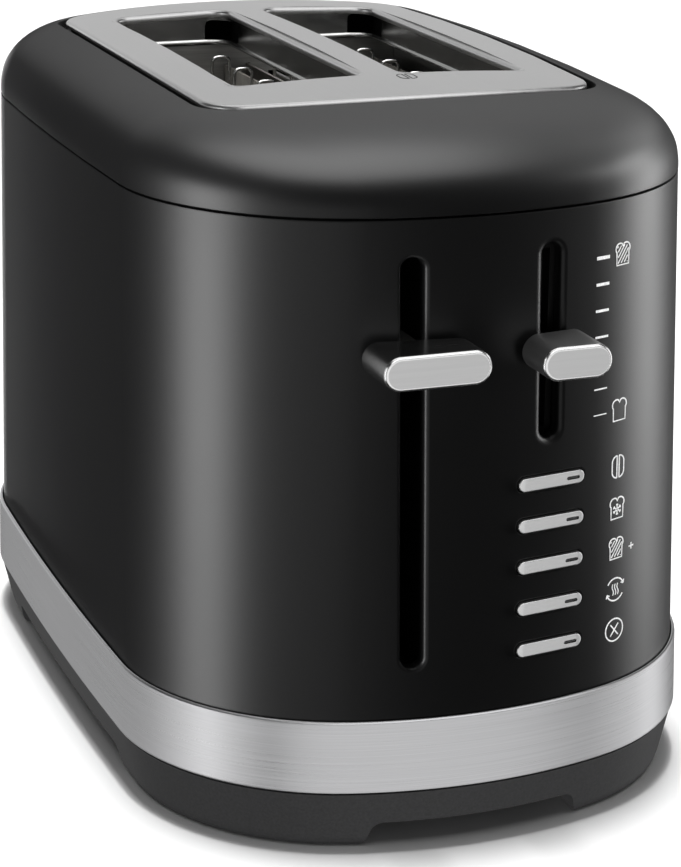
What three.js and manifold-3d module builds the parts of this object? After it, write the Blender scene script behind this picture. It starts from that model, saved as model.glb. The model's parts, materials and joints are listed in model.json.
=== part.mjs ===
// Two-slice pop-up toaster with long wells. Millimetres, +Z up, front at -Y, floor at z = 0.
import * as THREE from "three";
import { mergeVertices } from "three/addons/utils/BufferGeometryUtils.js";
import Module from "manifold-3d";

// ---- placing ----
const KNOB_FACE_Y = -155.2;
const PULL_FACE_Y = 150.2;
const SHIFT_Y = -(KNOB_FACE_Y + PULL_FACE_Y) / 2;
const GAP = 0.3;

// ---- case: half-width a, half-length b, side, end and corner arc radii ----
const REF_Z = 100;
const HALF_WIDTH = 87.07;
const HALF_WIDTH_DRAFT = 0.0169;
const HALF_LENGTH = 139.76;
const HALF_LENGTH_DRAFT = 0.0384;
const SIDE_RADIUS = 1969;
const END_RADIUS = 138.6;
const CORNER_RADIUS = 67.4;
const SEAM_Z = 183;
const SEAM_HALF_GAP = 0.2;
const CASE_WALL = 1.5;
const SHELL_BOTTOM_Z = 18.7;

// ---- lid and top plate ----
const LID_TOP_Z = 202.5;
const LID_POWER = 0.82;
const LID_RINGS = 7;
const GUTTER_Z = 200.6;
const LID_OPENING_INSET = 3.5;
const PLATE_TOP_Z = 208.7;
const PLATE_A = 60.4;
const PLATE_B = 96.2;
const PLATE_Y = 7;
const PLATE_END_RADIUS = 119.3;
const PLATE_CORNER_RADIUS = 21.2;
const PLATE_CROWN_Y = 2.4;
const PLATE_CROWN_X = 2.97;
const PLATE_SHEET = 0.8;
const PLATE_RIM_DROP = 3.0;
const SLOT_X0 = 6.35;
const SLOT_X1 = 45.08;
const SLOT_Y0 = -55.4;
const SLOT_Y1 = 77.0;
const SLOT_RADIUS = 4;
const THROAT_BOTTOM_Z = 196;
const THROAT_WALL = 0.9;

// ---- band and base ----
const BAND_Z0 = 18.4;
const BAND_Z1 = 40.1;
const BAND_PROUD = 1.4;
const BASE_Z0 = 1.0;
const BASE_Z1 = 18.1;
const BASE_TOP_OFFSET = 0.9;
const BASE_FOOT_INSET = 4.5;
const FLOOR_Z0 = 8;
const FLOOR_Z1 = 11;
const BASE_WALL = 4.0;
const NOTCH_X = 31;
const NOTCH_Y = 62;
const NOTCH_SLOPE = 5;
const FOOT_X = 50;
const FOOT_Y = 104;
const FOOT_R = 9;
const FOOT_H = 2.7;
const SCREW_X = 42;
const SCREW_Y = 82;
const SCREW_HEAD_R = 3.6;
const SCREW_SHANK_R = 1.5;
const SCREW_HEAD_Z = [2.4, 4.7];
const SCREW_TIP_Z = 10.3;
const TRAY_GUIDE_X = 66;
const TRAY_GUIDE_TOP_Z = 17.5;
const VENT_X = 72;
const VENT_HALF_WIDTH = 6;
const VENT_Y0 = -40;
const VENT_LENGTH = 5;
const VENT_PITCH = 22;
const VENT_COUNT = 5;
const INLET_Z = 52;
const INLET_HOLE_R = 4.9;

// ---- crumb tray ----
const TRAY_HALF_WIDTH = 56;
const TRAY_FRONT_Y = -58;
const TRAY_Z0 = 11.3;
const TRAY_Z1 = 17.2;
const TRAY_WALL = 1.0;
const TRAY_INSET = 1.2;
const DOOR_HALF_WIDTH = 59.4;
const DOOR_Z0 = 9.0;
const DOOR_Z1 = 18.0;
const DOOR_THICK = 1.8;
const PULL_HALF_WIDTH = 27;
const PULL_Y = 144;

// ---- controls on the front ----
const LEVER_X = -20.8;
const LEVER_Z = 146;
const LEVER_W = 31;
const LEVER_H = 9.8;
const LEVER_GAP = 4.0;
const LEVER_SLOT = { x: -20.9, w: 6.7, z0: 54.8, z1: 172.2 };
const BROWN_X = 19.9;
const BROWN_Z = 144.6;
const BROWN_W = 20.5;
const BROWN_H = 9.7;
const BROWN_GAP = 2.4;
const BROWN_SLOT = { x: 19.8, w: 6.5, z0: 117.5, z1: 173.5 };
const KNOB_CHAMFER = 0.8;
const BUTTON_X = 21.3;
const BUTTON_W = 22;
const BUTTON_H = 4;
const BUTTON_Z = [105.5, 93.4, 81.2, 68.9, 56.5];
const BUTTON_PROUD = 0.9;
const BUTTON_DEPTH = 5;
const BUTTON_PLAY = 0.8;
const SLOT_BEVEL = 0.9;
const SLOT_BEVEL_DEPTH = 0.7;
const LENS_X = 28.3;
const LENS_W = 4.9;
const LENS_H = 1.5;
const FRONT_CUT = [-160, -110];
const CONTROL_BOARD_Y = [-124.3, -122.7];
const POWER_BOARD_Z = [13.9, 15.6];
const BUTTON_PLATE_Y = [-130.4, -128.4];

// ---- chamber ----
const FRONT_PLATE_Y = -62.4;
const REAR_PLATE_Y = 82.4;
const END_PLATE_T = 0.8;
const END_PLATE_X = 62;
const CHAMBER_TOP_Z = 195;
const CHAMBER_LOW_Z = 18.6;
const REFLECTOR_X = 58;
const CARD_OUTER_X = 50;
const CARD_INNER_X = 4;
const CARD_T = 1.0;
const CARD_Z0 = 32;
const CARD_Z1 = 188;
const WINDING_Z0 = 50;
const WINDING_Z1 = 172;
const WINDING_TURNS = 9;
const RIBBON_T = 0.6;
const RIBBON_W = 1.7;
const GUARD_INNER_X = 14;
const GUARD_OUTER_X = 37.5;
const GUARD_WIRE_R = 1.0;
const GUARD_WIRES_Y = [-54, -30, -6, 18, 42, 66];
const GUARD_LOW_Z = 28;
const GUARD_HIGH_Z = 184;
const GUARD_CLOSE = 5.0;
const GUARD_OPEN = 1.4;

// ---- lift ----
const RACK_X = 25.7;
const RACK_W = 9;
const RACK_Z = 132;
const RACK_T = 1.2;
const LIFT_DOWN = 86;
const LIFT_UP = 21;
const ROD_X = -21;
const ROD_Y = -85;
const ROD_R = 3;
const MAGNET_X = 12;
const MAGNET_Y = -85;
const MAGNET_TOP_Z = 33.6;
const SPRING_X = -38;
const SPRING_Y = -85;
const SPRING_Z0 = 131.6;
const SPRING_Z1 = 189.0;
const SPRING_TURNS = 13;
const ARM_HALF = 2.4;
const ARM_BACK_Y = -92.3;
const STEM_FRONT_Y = -147.5;

const wasm = await Module();
wasm.setup();

// ---------------------------------------------------------------- solids
function solid(geometry) {
  const g = geometry.index ? geometry.toNonIndexed() : geometry.clone();
  g.deleteAttribute("normal");
  g.deleteAttribute("uv");
  const m = mergeVertices(g, 1e-4);
  return new wasm.Manifold(
    new wasm.Mesh({
      numProp: 3,
      vertProperties: new Float32Array(m.attributes.position.array),
      triVerts: new Uint32Array(m.index.array),
    }),
  );
}

function union(list) {
  return list.reduce((sum, item) => sum.add(item));
}

function cut(from, list) {
  return list.reduce((rest, item) => rest.subtract(item), from);
}

function geometryFrom(points, faces) {
  const g = new THREE.BufferGeometry();
  g.setAttribute("position", new THREE.Float32BufferAttribute(points.flat(), 3));
  g.setIndex(faces.flat());
  return g;
}

// A closed stack of rings, each a list of [x, y, z] that runs counter-clockwise seen from the last ring.
function loft(rings, topZ = null) {
  const n = rings[0].length;
  const points = rings.flat();
  const faces = [];
  for (let k = 0; k + 1 < rings.length; k++) {
    for (let i = 0; i < n; i++) {
      const j = (i + 1) % n;
      const a = k * n + i;
      const b = k * n + j;
      const c = (k + 1) * n + j;
      const d = (k + 1) * n + i;
      faces.push([a, b, c], [a, c, d]);
    }
  }
  const last = (rings.length - 1) * n;
  const low = middle(rings[0]);
  const high = middle(rings[rings.length - 1]);
  if (topZ !== null) high[2] = topZ;
  points.push(low, high);
  for (let i = 0; i < n; i++) {
    const j = (i + 1) % n;
    faces.push([points.length - 2, j, i], [points.length - 1, last + i, last + j]);
  }
  return solid(geometryFrom(points, faces));
}

function middle(ring) {
  const sum = ring.reduce((s, p) => [s[0] + p[0], s[1] + p[1], s[2] + p[2]], [0, 0, 0]);
  return sum.map((v) => v / ring.length);
}

function at(ring, z) {
  return ring.map(([x, y]) => [x, y, z]);
}

function prism(ring, z0, z1) {
  return loft([at(ring, z0), at(ring, z1)]);
}

// A stack of rings drawn in x and z, run from y1 (rear) to y0 (front).
function stackY(levels) {
  return loft(levels.map(([ring, y]) => ring.map(([x, z]) => [x, y, z])));
}

function prismY(ring, y0, y1) {
  return stackY([
    [ring, y1],
    [ring, y0],
  ]);
}

function box(x0, x1, y0, y1, z0, z1) {
  const g = new THREE.BoxGeometry(x1 - x0, y1 - y0, z1 - z0);
  g.translate((x0 + x1) / 2, (y0 + y1) / 2, (z0 + z1) / 2);
  return solid(g);
}

function rod(x, y, z0, z1, r, sides = 16) {
  const g = new THREE.CylinderGeometry(r, r, z1 - z0, sides);
  g.rotateX(Math.PI / 2);
  g.translate(x, y, (z0 + z1) / 2);
  return solid(g);
}

function rodY(x, z, y0, y1, r, sides = 16) {
  const g = new THREE.CylinderGeometry(r, r, y1 - y0, sides);
  g.translate(x, (y0 + y1) / 2, z);
  return solid(g);
}

function roundRect(cx, cy, w, h, r, steps = 4) {
  const ring = [];
  const corners = [
    [1, 1],
    [-1, 1],
    [-1, -1],
    [1, -1],
  ];
  corners.forEach(([sx, sy], q) => {
    for (let i = 0; i <= steps; i++) {
      const t = ((q + i / steps) * Math.PI) / 2;
      const x = cx + sx * (w / 2 - r) + r * Math.cos(t);
      const y = cy + sy * (h / 2 - r) + r * Math.sin(t);
      ring.push([x, y]);
    }
  });
  return ring;
}

function pill(cx, cz, w, h, steps = 5) {
  return roundRect(cx, cz, w, h, Math.min(w, h) / 2 - 0.01, steps);
}

// A round wire through a list of points.
function wire(path, r, sides = 6) {
  const points = path.map((p) => new THREE.Vector3(...p));
  let side = null;
  const rings = points.map((p, i) => {
    const back = i > 0 ? p.clone().sub(points[i - 1]).normalize() : null;
    const ahead = i + 1 < points.length ? points[i + 1].clone().sub(p).normalize() : null;
    const along = (back && ahead ? back.clone().add(ahead) : back || ahead).clone().normalize();
    const flat = back || ahead;
    if (side === null) side = new THREE.Vector3(0.31, 0.17, 0.93).cross(flat).normalize();
    side = side.clone().addScaledVector(flat, -side.dot(flat)).normalize();
    const up = flat.clone().cross(side).normalize();
    return Array.from({ length: sides }, (_, k) => {
      const t = (k / sides) * Math.PI * 2;
      const off = side.clone().multiplyScalar(r * Math.cos(t)).addScaledVector(up, r * Math.sin(t));
      off.addScaledVector(flat, -off.dot(along) / flat.dot(along));
      return p.clone().add(off).toArray();
    });
  });
  return loft(rings);
}

// A flat strip on edge: the path runs in x and y, the strip is w tall.
function ribbon(path, t, w) {
  const rings = path.map((p, i) => {
    const back = i > 0 ? leftOf(path[i - 1], p) : null;
    const ahead = i + 1 < path.length ? leftOf(p, path[i + 1]) : null;
    const n1 = back || ahead;
    const n2 = ahead || back;
    const k = t / 2 / (1 + n1[0] * n2[0] + n1[1] * n2[1]);
    const mx = (n1[0] + n2[0]) * k;
    const my = (n1[1] + n2[1]) * k;
    return [
      [p[0] - mx, p[1] - my, p[2] - w / 2],
      [p[0] + mx, p[1] + my, p[2] - w / 2],
      [p[0] + mx, p[1] + my, p[2] + w / 2],
      [p[0] - mx, p[1] - my, p[2] + w / 2],
    ];
  });
  return loft(rings);
}

function leftOf(p, q) {
  const d = Math.hypot(q[0] - p[0], q[1] - p[1]);
  return [-(q[1] - p[1]) / d, (q[0] - p[0]) / d];
}

// ---------------------------------------------------------------- case outlines
function arc(points, cx, cy, r, t0, t1, steps, from) {
  for (let i = from; i <= steps; i++) {
    const t = t0 + ((t1 - t0) * i) / steps;
    points.push([cx + r * Math.cos(t), cy + r * Math.sin(t)]);
  }
}

// Half-width a, half-length b, with side, corner and end arcs that meet tangentially, centred on (0, cy).
function outline({ a, b, rs, re, rc, cy = 0 }, steps = [1, 7, 3]) {
  const c1 = a - rs;
  const c2 = b - re;
  const r1 = rs - rc;
  const r2 = re - rc;
  const d = Math.hypot(c1, c2);
  const along = (r1 * r1 - r2 * r2 + d * d) / (2 * d);
  const off = Math.sqrt(Math.max(r1 * r1 - along * along, 1e-9));
  const ux = -c1 / d;
  const uy = c2 / d;
  let kx = c1 + ux * along + uy * off;
  let ky = uy * along - ux * off;
  if (kx < 0 || ky < 0) {
    kx = c1 + ux * along - uy * off;
    ky = uy * along + ux * off;
  }
  const t1 = Math.atan2(ky, kx - c1);
  const t2 = Math.atan2(ky - c2, kx);
  const quarter = [];
  arc(quarter, c1, 0, rs, 0, t1, steps[0], 0);
  arc(quarter, kx, ky, rc, t1, t2, steps[1], 1);
  arc(quarter, 0, c2, re, t2, Math.PI / 2, steps[2], 1);
  const ring = quarter.slice();
  for (let i = quarter.length - 2; i >= 0; i--) ring.push([-quarter[i][0], quarter[i][1]]);
  for (let i = 1; i < quarter.length; i++) ring.push([-quarter[i][0], -quarter[i][1]]);
  for (let i = quarter.length - 2; i >= 1; i--) ring.push([quarter[i][0], -quarter[i][1]]);
  return ring.map(([x, y]) => [x, y + cy]);
}

function grown(p, by) {
  return { ...p, a: p.a + by, b: p.b + by, rs: p.rs + by, re: p.re + by, rc: p.rc + by };
}

function caseAt(z) {
  return {
    a: HALF_WIDTH - HALF_WIDTH_DRAFT * (z - REF_Z),
    b: HALF_LENGTH - HALF_LENGTH_DRAFT * (z - REF_Z),
    rs: SIDE_RADIUS,
    re: END_RADIUS,
    rc: CORNER_RADIUS,
    cy: 0,
  };
}

function caseRing(z, by, steps) {
  return at(outline(grown(caseAt(z), by), steps), z);
}

// The case wall's outer surface grown by a distance, as a solid block.
function caseBlock(z0, z1, by, steps) {
  return loft([caseRing(z0, by, steps), caseRing(z1, by, steps)]);
}

function baseOffset(z) {
  const t = (z - BASE_Z0) / (BASE_Z1 - BASE_Z0);
  return -BASE_FOOT_INSET + t * (BASE_FOOT_INSET + BASE_TOP_OFFSET);
}

function baseBlock(z0, z1, by) {
  return loft([caseRing(z0, baseOffset(z0) + by), caseRing(z1, baseOffset(z1) + by)]);
}

const PLATE = {
  a: PLATE_A,
  b: PLATE_B,
  rs: SIDE_RADIUS,
  re: PLATE_END_RADIUS,
  rc: PLATE_CORNER_RADIUS,
  cy: PLATE_Y,
};

function mixOutline(p, q, s) {
  const mixed = {};
  for (const key of ["a", "b", "rs", "re", "rc", "cy"]) mixed[key] = p[key] * (1 - s) + q[key] * s;
  return mixed;
}

function crown(x, y) {
  return PLATE_TOP_Z - PLATE_CROWN_Y * ((y - PLATE_Y) / 100) ** 2 - PLATE_CROWN_X * (x / 60) ** 2;
}

// ---------------------------------------------------------------- outer case
function lidRings(by, z0, zMax) {
  const seam = caseAt(SEAM_Z);
  const rim = { ...grown(PLATE, 2), re: PLATE_END_RADIUS };
  const rings = [];
  for (let i = 0; i <= LID_RINGS; i++) {
    const t = (i / LID_RINGS) * (Math.PI / 2);
    const s = 1 - Math.max(Math.cos(t), 0) ** LID_POWER;
    const h = Math.sin(t) ** LID_POWER;
    const z = Math.min(z0 + h * (LID_TOP_Z - z0), zMax + 0.01 * i);
    rings.push(at(outline(grown(mixOutline(seam, rim, s), by)), z));
  }
  return rings;
}

function makeLid() {
  const rings = lidRings(0, SEAM_Z + SEAM_HALF_GAP, 999);
  rings.push(at(outline(grown(PLATE, 1.1)), LID_TOP_Z - 0.4));
  rings.push(at(outline(grown(PLATE, 0.9)), GUTTER_Z));
  const inner = lidRings(-CASE_WALL, SEAM_Z - 1, GUTTER_Z - CASE_WALL);
  const opening = prism(outline(grown(PLATE, -LID_OPENING_INSET)), 190, 215);
  return cut(loft(rings), [loft(inner), opening]);
}

function plateRing(inset, drop, share = 1) {
  return outline(grown(PLATE, -inset), [1, 5, 3]).map(([x, y]) => {
    const px = x * share;
    const py = PLATE_Y + (y - PLATE_Y) * share;
    return [px, py, crown(px, py) - drop];
  });
}

function slotRing(side, by, steps = 3) {
  const cx = (side * (SLOT_X0 + SLOT_X1)) / 2;
  const cy = (SLOT_Y0 + SLOT_Y1) / 2;
  return roundRect(cx, cy, SLOT_X1 - SLOT_X0 + 2 * by, SLOT_Y1 - SLOT_Y0 + 2 * by, SLOT_RADIUS + by, steps);
}

function makeTopPlate() {
  const top = loft(
    [
      plateRing(0, PLATE_RIM_DROP),
      plateRing(0, 1.9),
      plateRing(0.35, 0.95),
      plateRing(1.1, 0.3),
      plateRing(2.6, 0.02),
      plateRing(6, 0, 0.98),
      plateRing(6, 0, 0.55),
    ],
    PLATE_TOP_Z,
  );
  const under = loft(
    [
      plateRing(PLATE_SHEET, PLATE_RIM_DROP + 1),
      plateRing(PLATE_SHEET, 2.1),
      plateRing(1.7, 1.15),
      plateRing(6, PLATE_SHEET, 0.98),
      plateRing(6, PLATE_SHEET, 0.55),
    ],
    PLATE_TOP_Z - PLATE_SHEET,
  );
  const skin = top.subtract(under);
  const throats = [-1, 1].map((side) => {
    const ring = slotRing(side, THROAT_WALL);
    return loft([at(ring, THROAT_BOTTOM_Z), ring.map(([x, y]) => [x, y, crown(x, y) - 0.35])]);
  });
  const slots = [-1, 1].map((side) => prism(slotRing(side, 0), 190, 215));
  return cut(union([skin, ...throats]), slots);
}

function slotCut({ x, w, z0, z1 }, by, y0, y1) {
  return prismY(pill(x, (z0 + z1) / 2, w + 2 * by, z1 - z0 + 2 * by, 4), y0, y1);
}

function makeBodyShell() {
  const top = SEAM_Z - SEAM_HALF_GAP;
  const outer = caseBlock(SHELL_BOTTOM_Z, top, 0);
  const inner = caseBlock(SHELL_BOTTOM_Z - 1, top + 1, -CASE_WALL);
  const holes = [slotCut(LEVER_SLOT, 0, ...FRONT_CUT), slotCut(BROWN_SLOT, 0, ...FRONT_CUT)];
  for (const z of BUTTON_Z) {
    holes.push(prismY(pill(BUTTON_X, z, BUTTON_W + BUTTON_PLAY, BUTTON_H + BUTTON_PLAY), ...FRONT_CUT));
  }
  holes.push(rodY(0, INLET_Z, 100, 160, INLET_HOLE_R));
  const bevels = [LEVER_SLOT, BROWN_SLOT].map((slot) =>
    slotCut(slot, SLOT_BEVEL, ...FRONT_CUT).subtract(caseBlock(SHELL_BOTTOM_Z, top, -SLOT_BEVEL_DEPTH)),
  );
  return cut(outer.subtract(inner), [...holes, ...bevels]);
}

function makeBaseBand() {
  const outer = loft([
    caseRing(BAND_Z0, BAND_PROUD - 0.3),
    caseRing(BAND_Z0 + 0.4, BAND_PROUD),
    caseRing(BAND_Z1 - 0.9, BAND_PROUD),
    caseRing(BAND_Z1 - 0.3, BAND_PROUD - 0.25),
    caseRing(BAND_Z1, BAND_PROUD - 0.7),
  ]);
  return outer.subtract(caseBlock(BAND_Z0 - 1, BAND_Z1 + 1, GAP));
}

// The section of the gap between two feet, its sides sloping out to the floor.
function notchSection(half) {
  const low = half + NOTCH_SLOPE;
  return [
    [-low, -1],
    [low, -1],
    [half, FLOOR_Z0],
    [-half, FLOOR_Z0],
  ];
}

function notchFrontToRear() {
  return prismY(notchSection(NOTCH_X), -170, 170);
}

function notchSideToSide() {
  return loft([-100, 100].map((x) => notchSection(NOTCH_Y).map(([y, z]) => [x, y, z])));
}

function vents() {
  const list = [];
  for (const side of [-1, 1]) {
    const x0 = side * VENT_X - VENT_HALF_WIDTH;
    const x1 = side * VENT_X + VENT_HALF_WIDTH;
    for (let i = 0; i < VENT_COUNT; i++) {
      const y = VENT_Y0 + i * VENT_PITCH;
      list.push(box(x0, x1, y, y + VENT_LENGTH, FLOOR_Z0 - 1, FLOOR_Z1 + 1));
    }
  }
  return list;
}

function makeBase() {
  const outer = baseBlock(BASE_Z0, BASE_Z1, 0);
  const cavity = caseBlock(FLOOR_Z1, BASE_Z1 + 1, -BASE_WALL);
  const mouth = box(-TRAY_HALF_WIDTH - 1, TRAY_HALF_WIDTH + 1, 60, 170, FLOOR_Z1, BASE_Z1 + 1);
  let base = cut(outer, [cavity, mouth, notchFrontToRear(), notchSideToSide(), ...vents()]);
  const posts = [];
  const bores = [];
  for (const sx of [-1, 1]) {
    for (const sy of [-1, 1]) {
      bores.push(rod(sx * FOOT_X, sy * FOOT_Y, -1, FOOT_H + GAP, FOOT_R + GAP, 20));
      bores.push(rod(sx * SCREW_X, sy * SCREW_Y, -1, SCREW_HEAD_Z[1] + GAP, SCREW_HEAD_R + 2 * GAP, 12));
      bores.push(rod(sx * SCREW_X, sy * SCREW_Y, 4, SCREW_TIP_Z + GAP, SCREW_SHANK_R + GAP, 8));
      posts.push(rod(sx * TRAY_GUIDE_X, sy * SCREW_Y, FLOOR_Z1 - 0.5, TRAY_GUIDE_TOP_Z, 3.6, 10));
    }
  }
  for (const y of [-112, -76]) posts.push(rod(30, y, FLOOR_Z1 - 0.5, POWER_BOARD_Z[0] - GAP, 2.6, 8));
  base = union([base, ...posts]);
  return cut(base, bores);
}

function makeFootPad(sx, sy) {
  const pad = rod(sx * FOOT_X, sy * FOOT_Y, 0, FOOT_H, FOOT_R, 20);
  return pad.subtract(rod(sx * FOOT_X, sy * FOOT_Y, -1, 0.5, 3, 10));
}

function makeBaseScrew(sx, sy) {
  const x = sx * SCREW_X;
  const y = sy * SCREW_Y;
  const head = rod(x, y, ...SCREW_HEAD_Z, SCREW_HEAD_R, 12);
  const shank = rod(x, y, SCREW_HEAD_Z[1] - 0.2, SCREW_TIP_Z, SCREW_SHANK_R, 8);
  const cross = [
    [2.3, 0.4],
    [0.4, 2.3],
  ].map(([dx, dy]) => box(x - dx, x + dx, y - dy, y + dy, 1, 3.5));
  return cut(union([head, shank]), cross);
}

// Strain-relief bush: a shank through the wall, an outer flange, a nose and an inner nut.
function makeCordInlet() {
  const face = caseAt(INLET_Z).b;
  const inside = face - CASE_WALL;
  const bush = union([
    rodY(0, INLET_Z, inside - 6, face + 1, 4.5),
    rodY(0, INLET_Z, face + GAP, face + 2.6, 7.5),
    rodY(0, INLET_Z, face + 2, face + 6, 5.4),
    rodY(0, INLET_Z, inside - 4, inside - GAP - 0.4, 7),
  ]);
  return bush.subtract(rodY(0, INLET_Z, 100, 170, 2.6));
}

// ---------------------------------------------------------------- crumb tray
function trayBlock(by, z0, z1) {
  const plan = prism(outline(grown(caseAt(14), baseOffset(14) - TRAY_INSET - by)), z0, z1);
  const span = box(-TRAY_HALF_WIDTH + by, TRAY_HALF_WIDTH - by, TRAY_FRONT_Y + by, 170, z0 - 1, z1 + 1);
  return plan.intersect(span);
}

function makeCrumbTray() {
  return trayBlock(0, TRAY_Z0, TRAY_Z1).subtract(trayBlock(TRAY_WALL, TRAY_Z0 + TRAY_WALL, TRAY_Z1 + 1));
}

function makeTrayHandle() {
  const z0 = DOOR_Z0 - 1;
  const z1 = DOOR_Z1 + 1;
  const skin = baseBlock(DOOR_Z0, DOOR_Z1, GAP + DOOR_THICK).subtract(baseBlock(z0, z1, GAP));
  const door = skin.intersect(box(-DOOR_HALF_WIDTH, DOOR_HALF_WIDTH, 60, 170, z0, z1));
  const plan = roundRect(0, PULL_Y, 2 * PULL_HALF_WIDTH, 2 * (PULL_FACE_Y - PULL_Y), 5, 4);
  const block = prism(plan, 11, DOOR_Z1).subtract(baseBlock(z0, z1, GAP + 0.6));
  const scoop = prism(roundRect(0, PULL_Y + 1.5, 2 * PULL_HALF_WIDTH - 8, 5.2, 2.4, 3), DOOR_Z0, 15.4);
  return union([door, block]).subtract(scoop.subtract(baseBlock(z0, z1, GAP + DOOR_THICK)));
}

// ---------------------------------------------------------------- lift
function makeKnob(cx, cz, w, h, gap) {
  const body = stackY([
    [pill(cx, cz, w, h), -110],
    [pill(cx, cz, w, h), KNOB_FACE_Y + KNOB_CHAMFER],
    [pill(cx, cz, w - 2 * KNOB_CHAMFER, h - 2 * KNOB_CHAMFER), KNOB_FACE_Y],
  ]);
  const socket = prismY(roundRect(cx, cz, 5.4, 5.4, 0.6, 2), -148, -110);
  return body.subtract(caseBlock(cz - 30, cz + 30, gap)).subtract(socket);
}

function makeLeverArm() {
  const x = LEVER_X;
  const z = LEVER_Z;
  const shaft = box(x - ARM_HALF, x + ARM_HALF, STEM_FRONT_Y, ARM_BACK_Y, z - ARM_HALF, z + ARM_HALF);
  const foot = box(x - 7, x + 7, ARM_BACK_Y - 2.2, ARM_BACK_Y, z - 9, z + 9);
  return union([shaft, foot]);
}

function makeLiftCarriage() {
  const block = box(ROD_X - 9, ROD_X + 9, -92, -78, 128, 166);
  const yoke = box(-33, 33, -79, -66, 128, RACK_Z - GAP);
  const ear = box(SPRING_X - 5, ROD_X - 8, SPRING_Y - 5, SPRING_Y + 5, 127, SPRING_Z0 - GAP);
  const post = box(MAGNET_X - 5, MAGNET_X + 5, -88, -78, 126, 131);
  const bore = rod(ROD_X, ROD_Y, 100, 190, ROD_R + GAP, 16);
  return union([block, yoke, ear, post]).subtract(bore);
}

function makeGuideRod() {
  return rod(ROD_X, ROD_Y, FLOOR_Z1 + GAP, 194.5, ROD_R, 16);
}

function makeLatchKeeper() {
  const top = 125.7;
  const low = MAGNET_TOP_Z + LIFT_DOWN + GAP;
  return box(MAGNET_X - 9, MAGNET_X + 9, MAGNET_Y - 7, MAGNET_Y + 7, low, top);
}

function makeMagnetCore() {
  const x = MAGNET_X;
  const y = MAGNET_Y;
  const block = box(x - 9, x + 9, y - 5, y + 5, 16.1, MAGNET_TOP_Z);
  const windows = [-1, 1].map((s) => box(x + s * 4.25 - 2.15, x + s * 4.25 + 2.15, y - 9, y + 9, 19, 40));
  return cut(block, windows);
}

function makeMagnetCoil() {
  const x = MAGNET_X;
  const y = MAGNET_Y;
  const outer = box(x - 6, x + 6, y - 9, y + 9, 19.5, 31.5);
  const hole = box(x - 2.45, x + 2.45, y - 5.4, y + 5.4, 18, 33);
  return outer.subtract(hole);
}

function makeLiftSpring() {
  const path = [];
  const steps = SPRING_TURNS * 8;
  for (let i = 0; i <= steps; i++) {
    const t = (i / 8) * Math.PI * 2;
    const z = SPRING_Z0 + 0.6 + ((SPRING_Z1 - SPRING_Z0 - 1.2) * i) / steps;
    path.push([SPRING_X + 3.4 * Math.cos(t), SPRING_Y + 3.4 * Math.sin(t), z]);
  }
  return wire(path, 0.5, 4);
}

function makeBreadRack(side) {
  const x = side * RACK_X;
  const half = RACK_W / 2;
  const bar = box(x - half, x + half, -77, 88, RACK_Z, RACK_Z + RACK_T);
  const pieces = [bar];
  for (let i = 0; i < 5; i++) {
    const y = -46 + i * 28;
    for (const s of [-1, 1]) {
      const edge = x + s * (half - 0.5);
      pieces.push(box(edge - 0.5, edge + 0.5, y, y + 9, RACK_Z, RACK_Z + 6));
    }
  }
  return union(pieces);
}

// ---------------------------------------------------------------- chamber
function guardSlot(side, baseX, inward) {
  const x0 = side * baseX - inward * (GUARD_OPEN + GUARD_WIRE_R + GAP);
  const x1 = side * baseX + inward * (GUARD_CLOSE + GUARD_WIRE_R + GAP);
  return [Math.min(x0, x1), Math.max(x0, x1)];
}

function guardList() {
  const list = [];
  for (const side of [-1, 1]) {
    list.push({ side, x: GUARD_INNER_X, inward: side, tag: "inner" });
    list.push({ side, x: GUARD_OUTER_X, inward: -side, tag: "outer" });
  }
  return list;
}

function makeEndPlate(y, lowCut) {
  const plate = box(-END_PLATE_X, END_PLATE_X, y, y + END_PLATE_T, FLOOR_Z1 + GAP, CHAMBER_TOP_Z);
  const holes = [];
  for (const side of [-1, 1]) {
    const x = side * RACK_X;
    holes.push(box(x - 5.2, x + 5.2, y - 2, y + 3, RACK_Z - LIFT_DOWN - 5, RACK_Z + LIFT_UP + 12));
    for (const card of [CARD_INNER_X, CARD_OUTER_X]) {
      const c = side * card;
      holes.push(box(c - 0.8, c + 0.8, y - 2, y + 3, CARD_Z0 - 0.3, CARD_Z0 + 8.3));
      holes.push(box(c - 0.8, c + 0.8, y - 2, y + 3, CARD_Z1 - 8.3, CARD_Z1 + 0.3));
    }
  }
  for (const g of guardList()) {
    const [x0, x1] = guardSlot(g.side, g.x, g.inward);
    for (const z of [GUARD_LOW_Z, GUARD_HIGH_Z]) {
      holes.push(box(x0, x1, y - 2, y + 3, z - GUARD_WIRE_R - GAP, z + GUARD_WIRE_R + GAP));
    }
  }
  if (lowCut) holes.push(box(-TRAY_HALF_WIDTH - 1, TRAY_HALF_WIDTH + 1, y - 2, y + 3, 0, CHAMBER_LOW_Z));
  return cut(plate, holes);
}

function makeFrontEndPlate() {
  const plate = makeEndPlate(FRONT_PLATE_Y, false);
  const shelf = box(-46, -12, -92, FRONT_PLATE_Y + 0.4, 189.4, 190.6);
  const web = box(-46, -12, FRONT_PLATE_Y, FRONT_PLATE_Y + END_PLATE_T, 188, 192);
  return union([plate, shelf, web]).subtract(rod(ROD_X, ROD_Y, 180, 194, ROD_R + GAP, 16));
}

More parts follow.
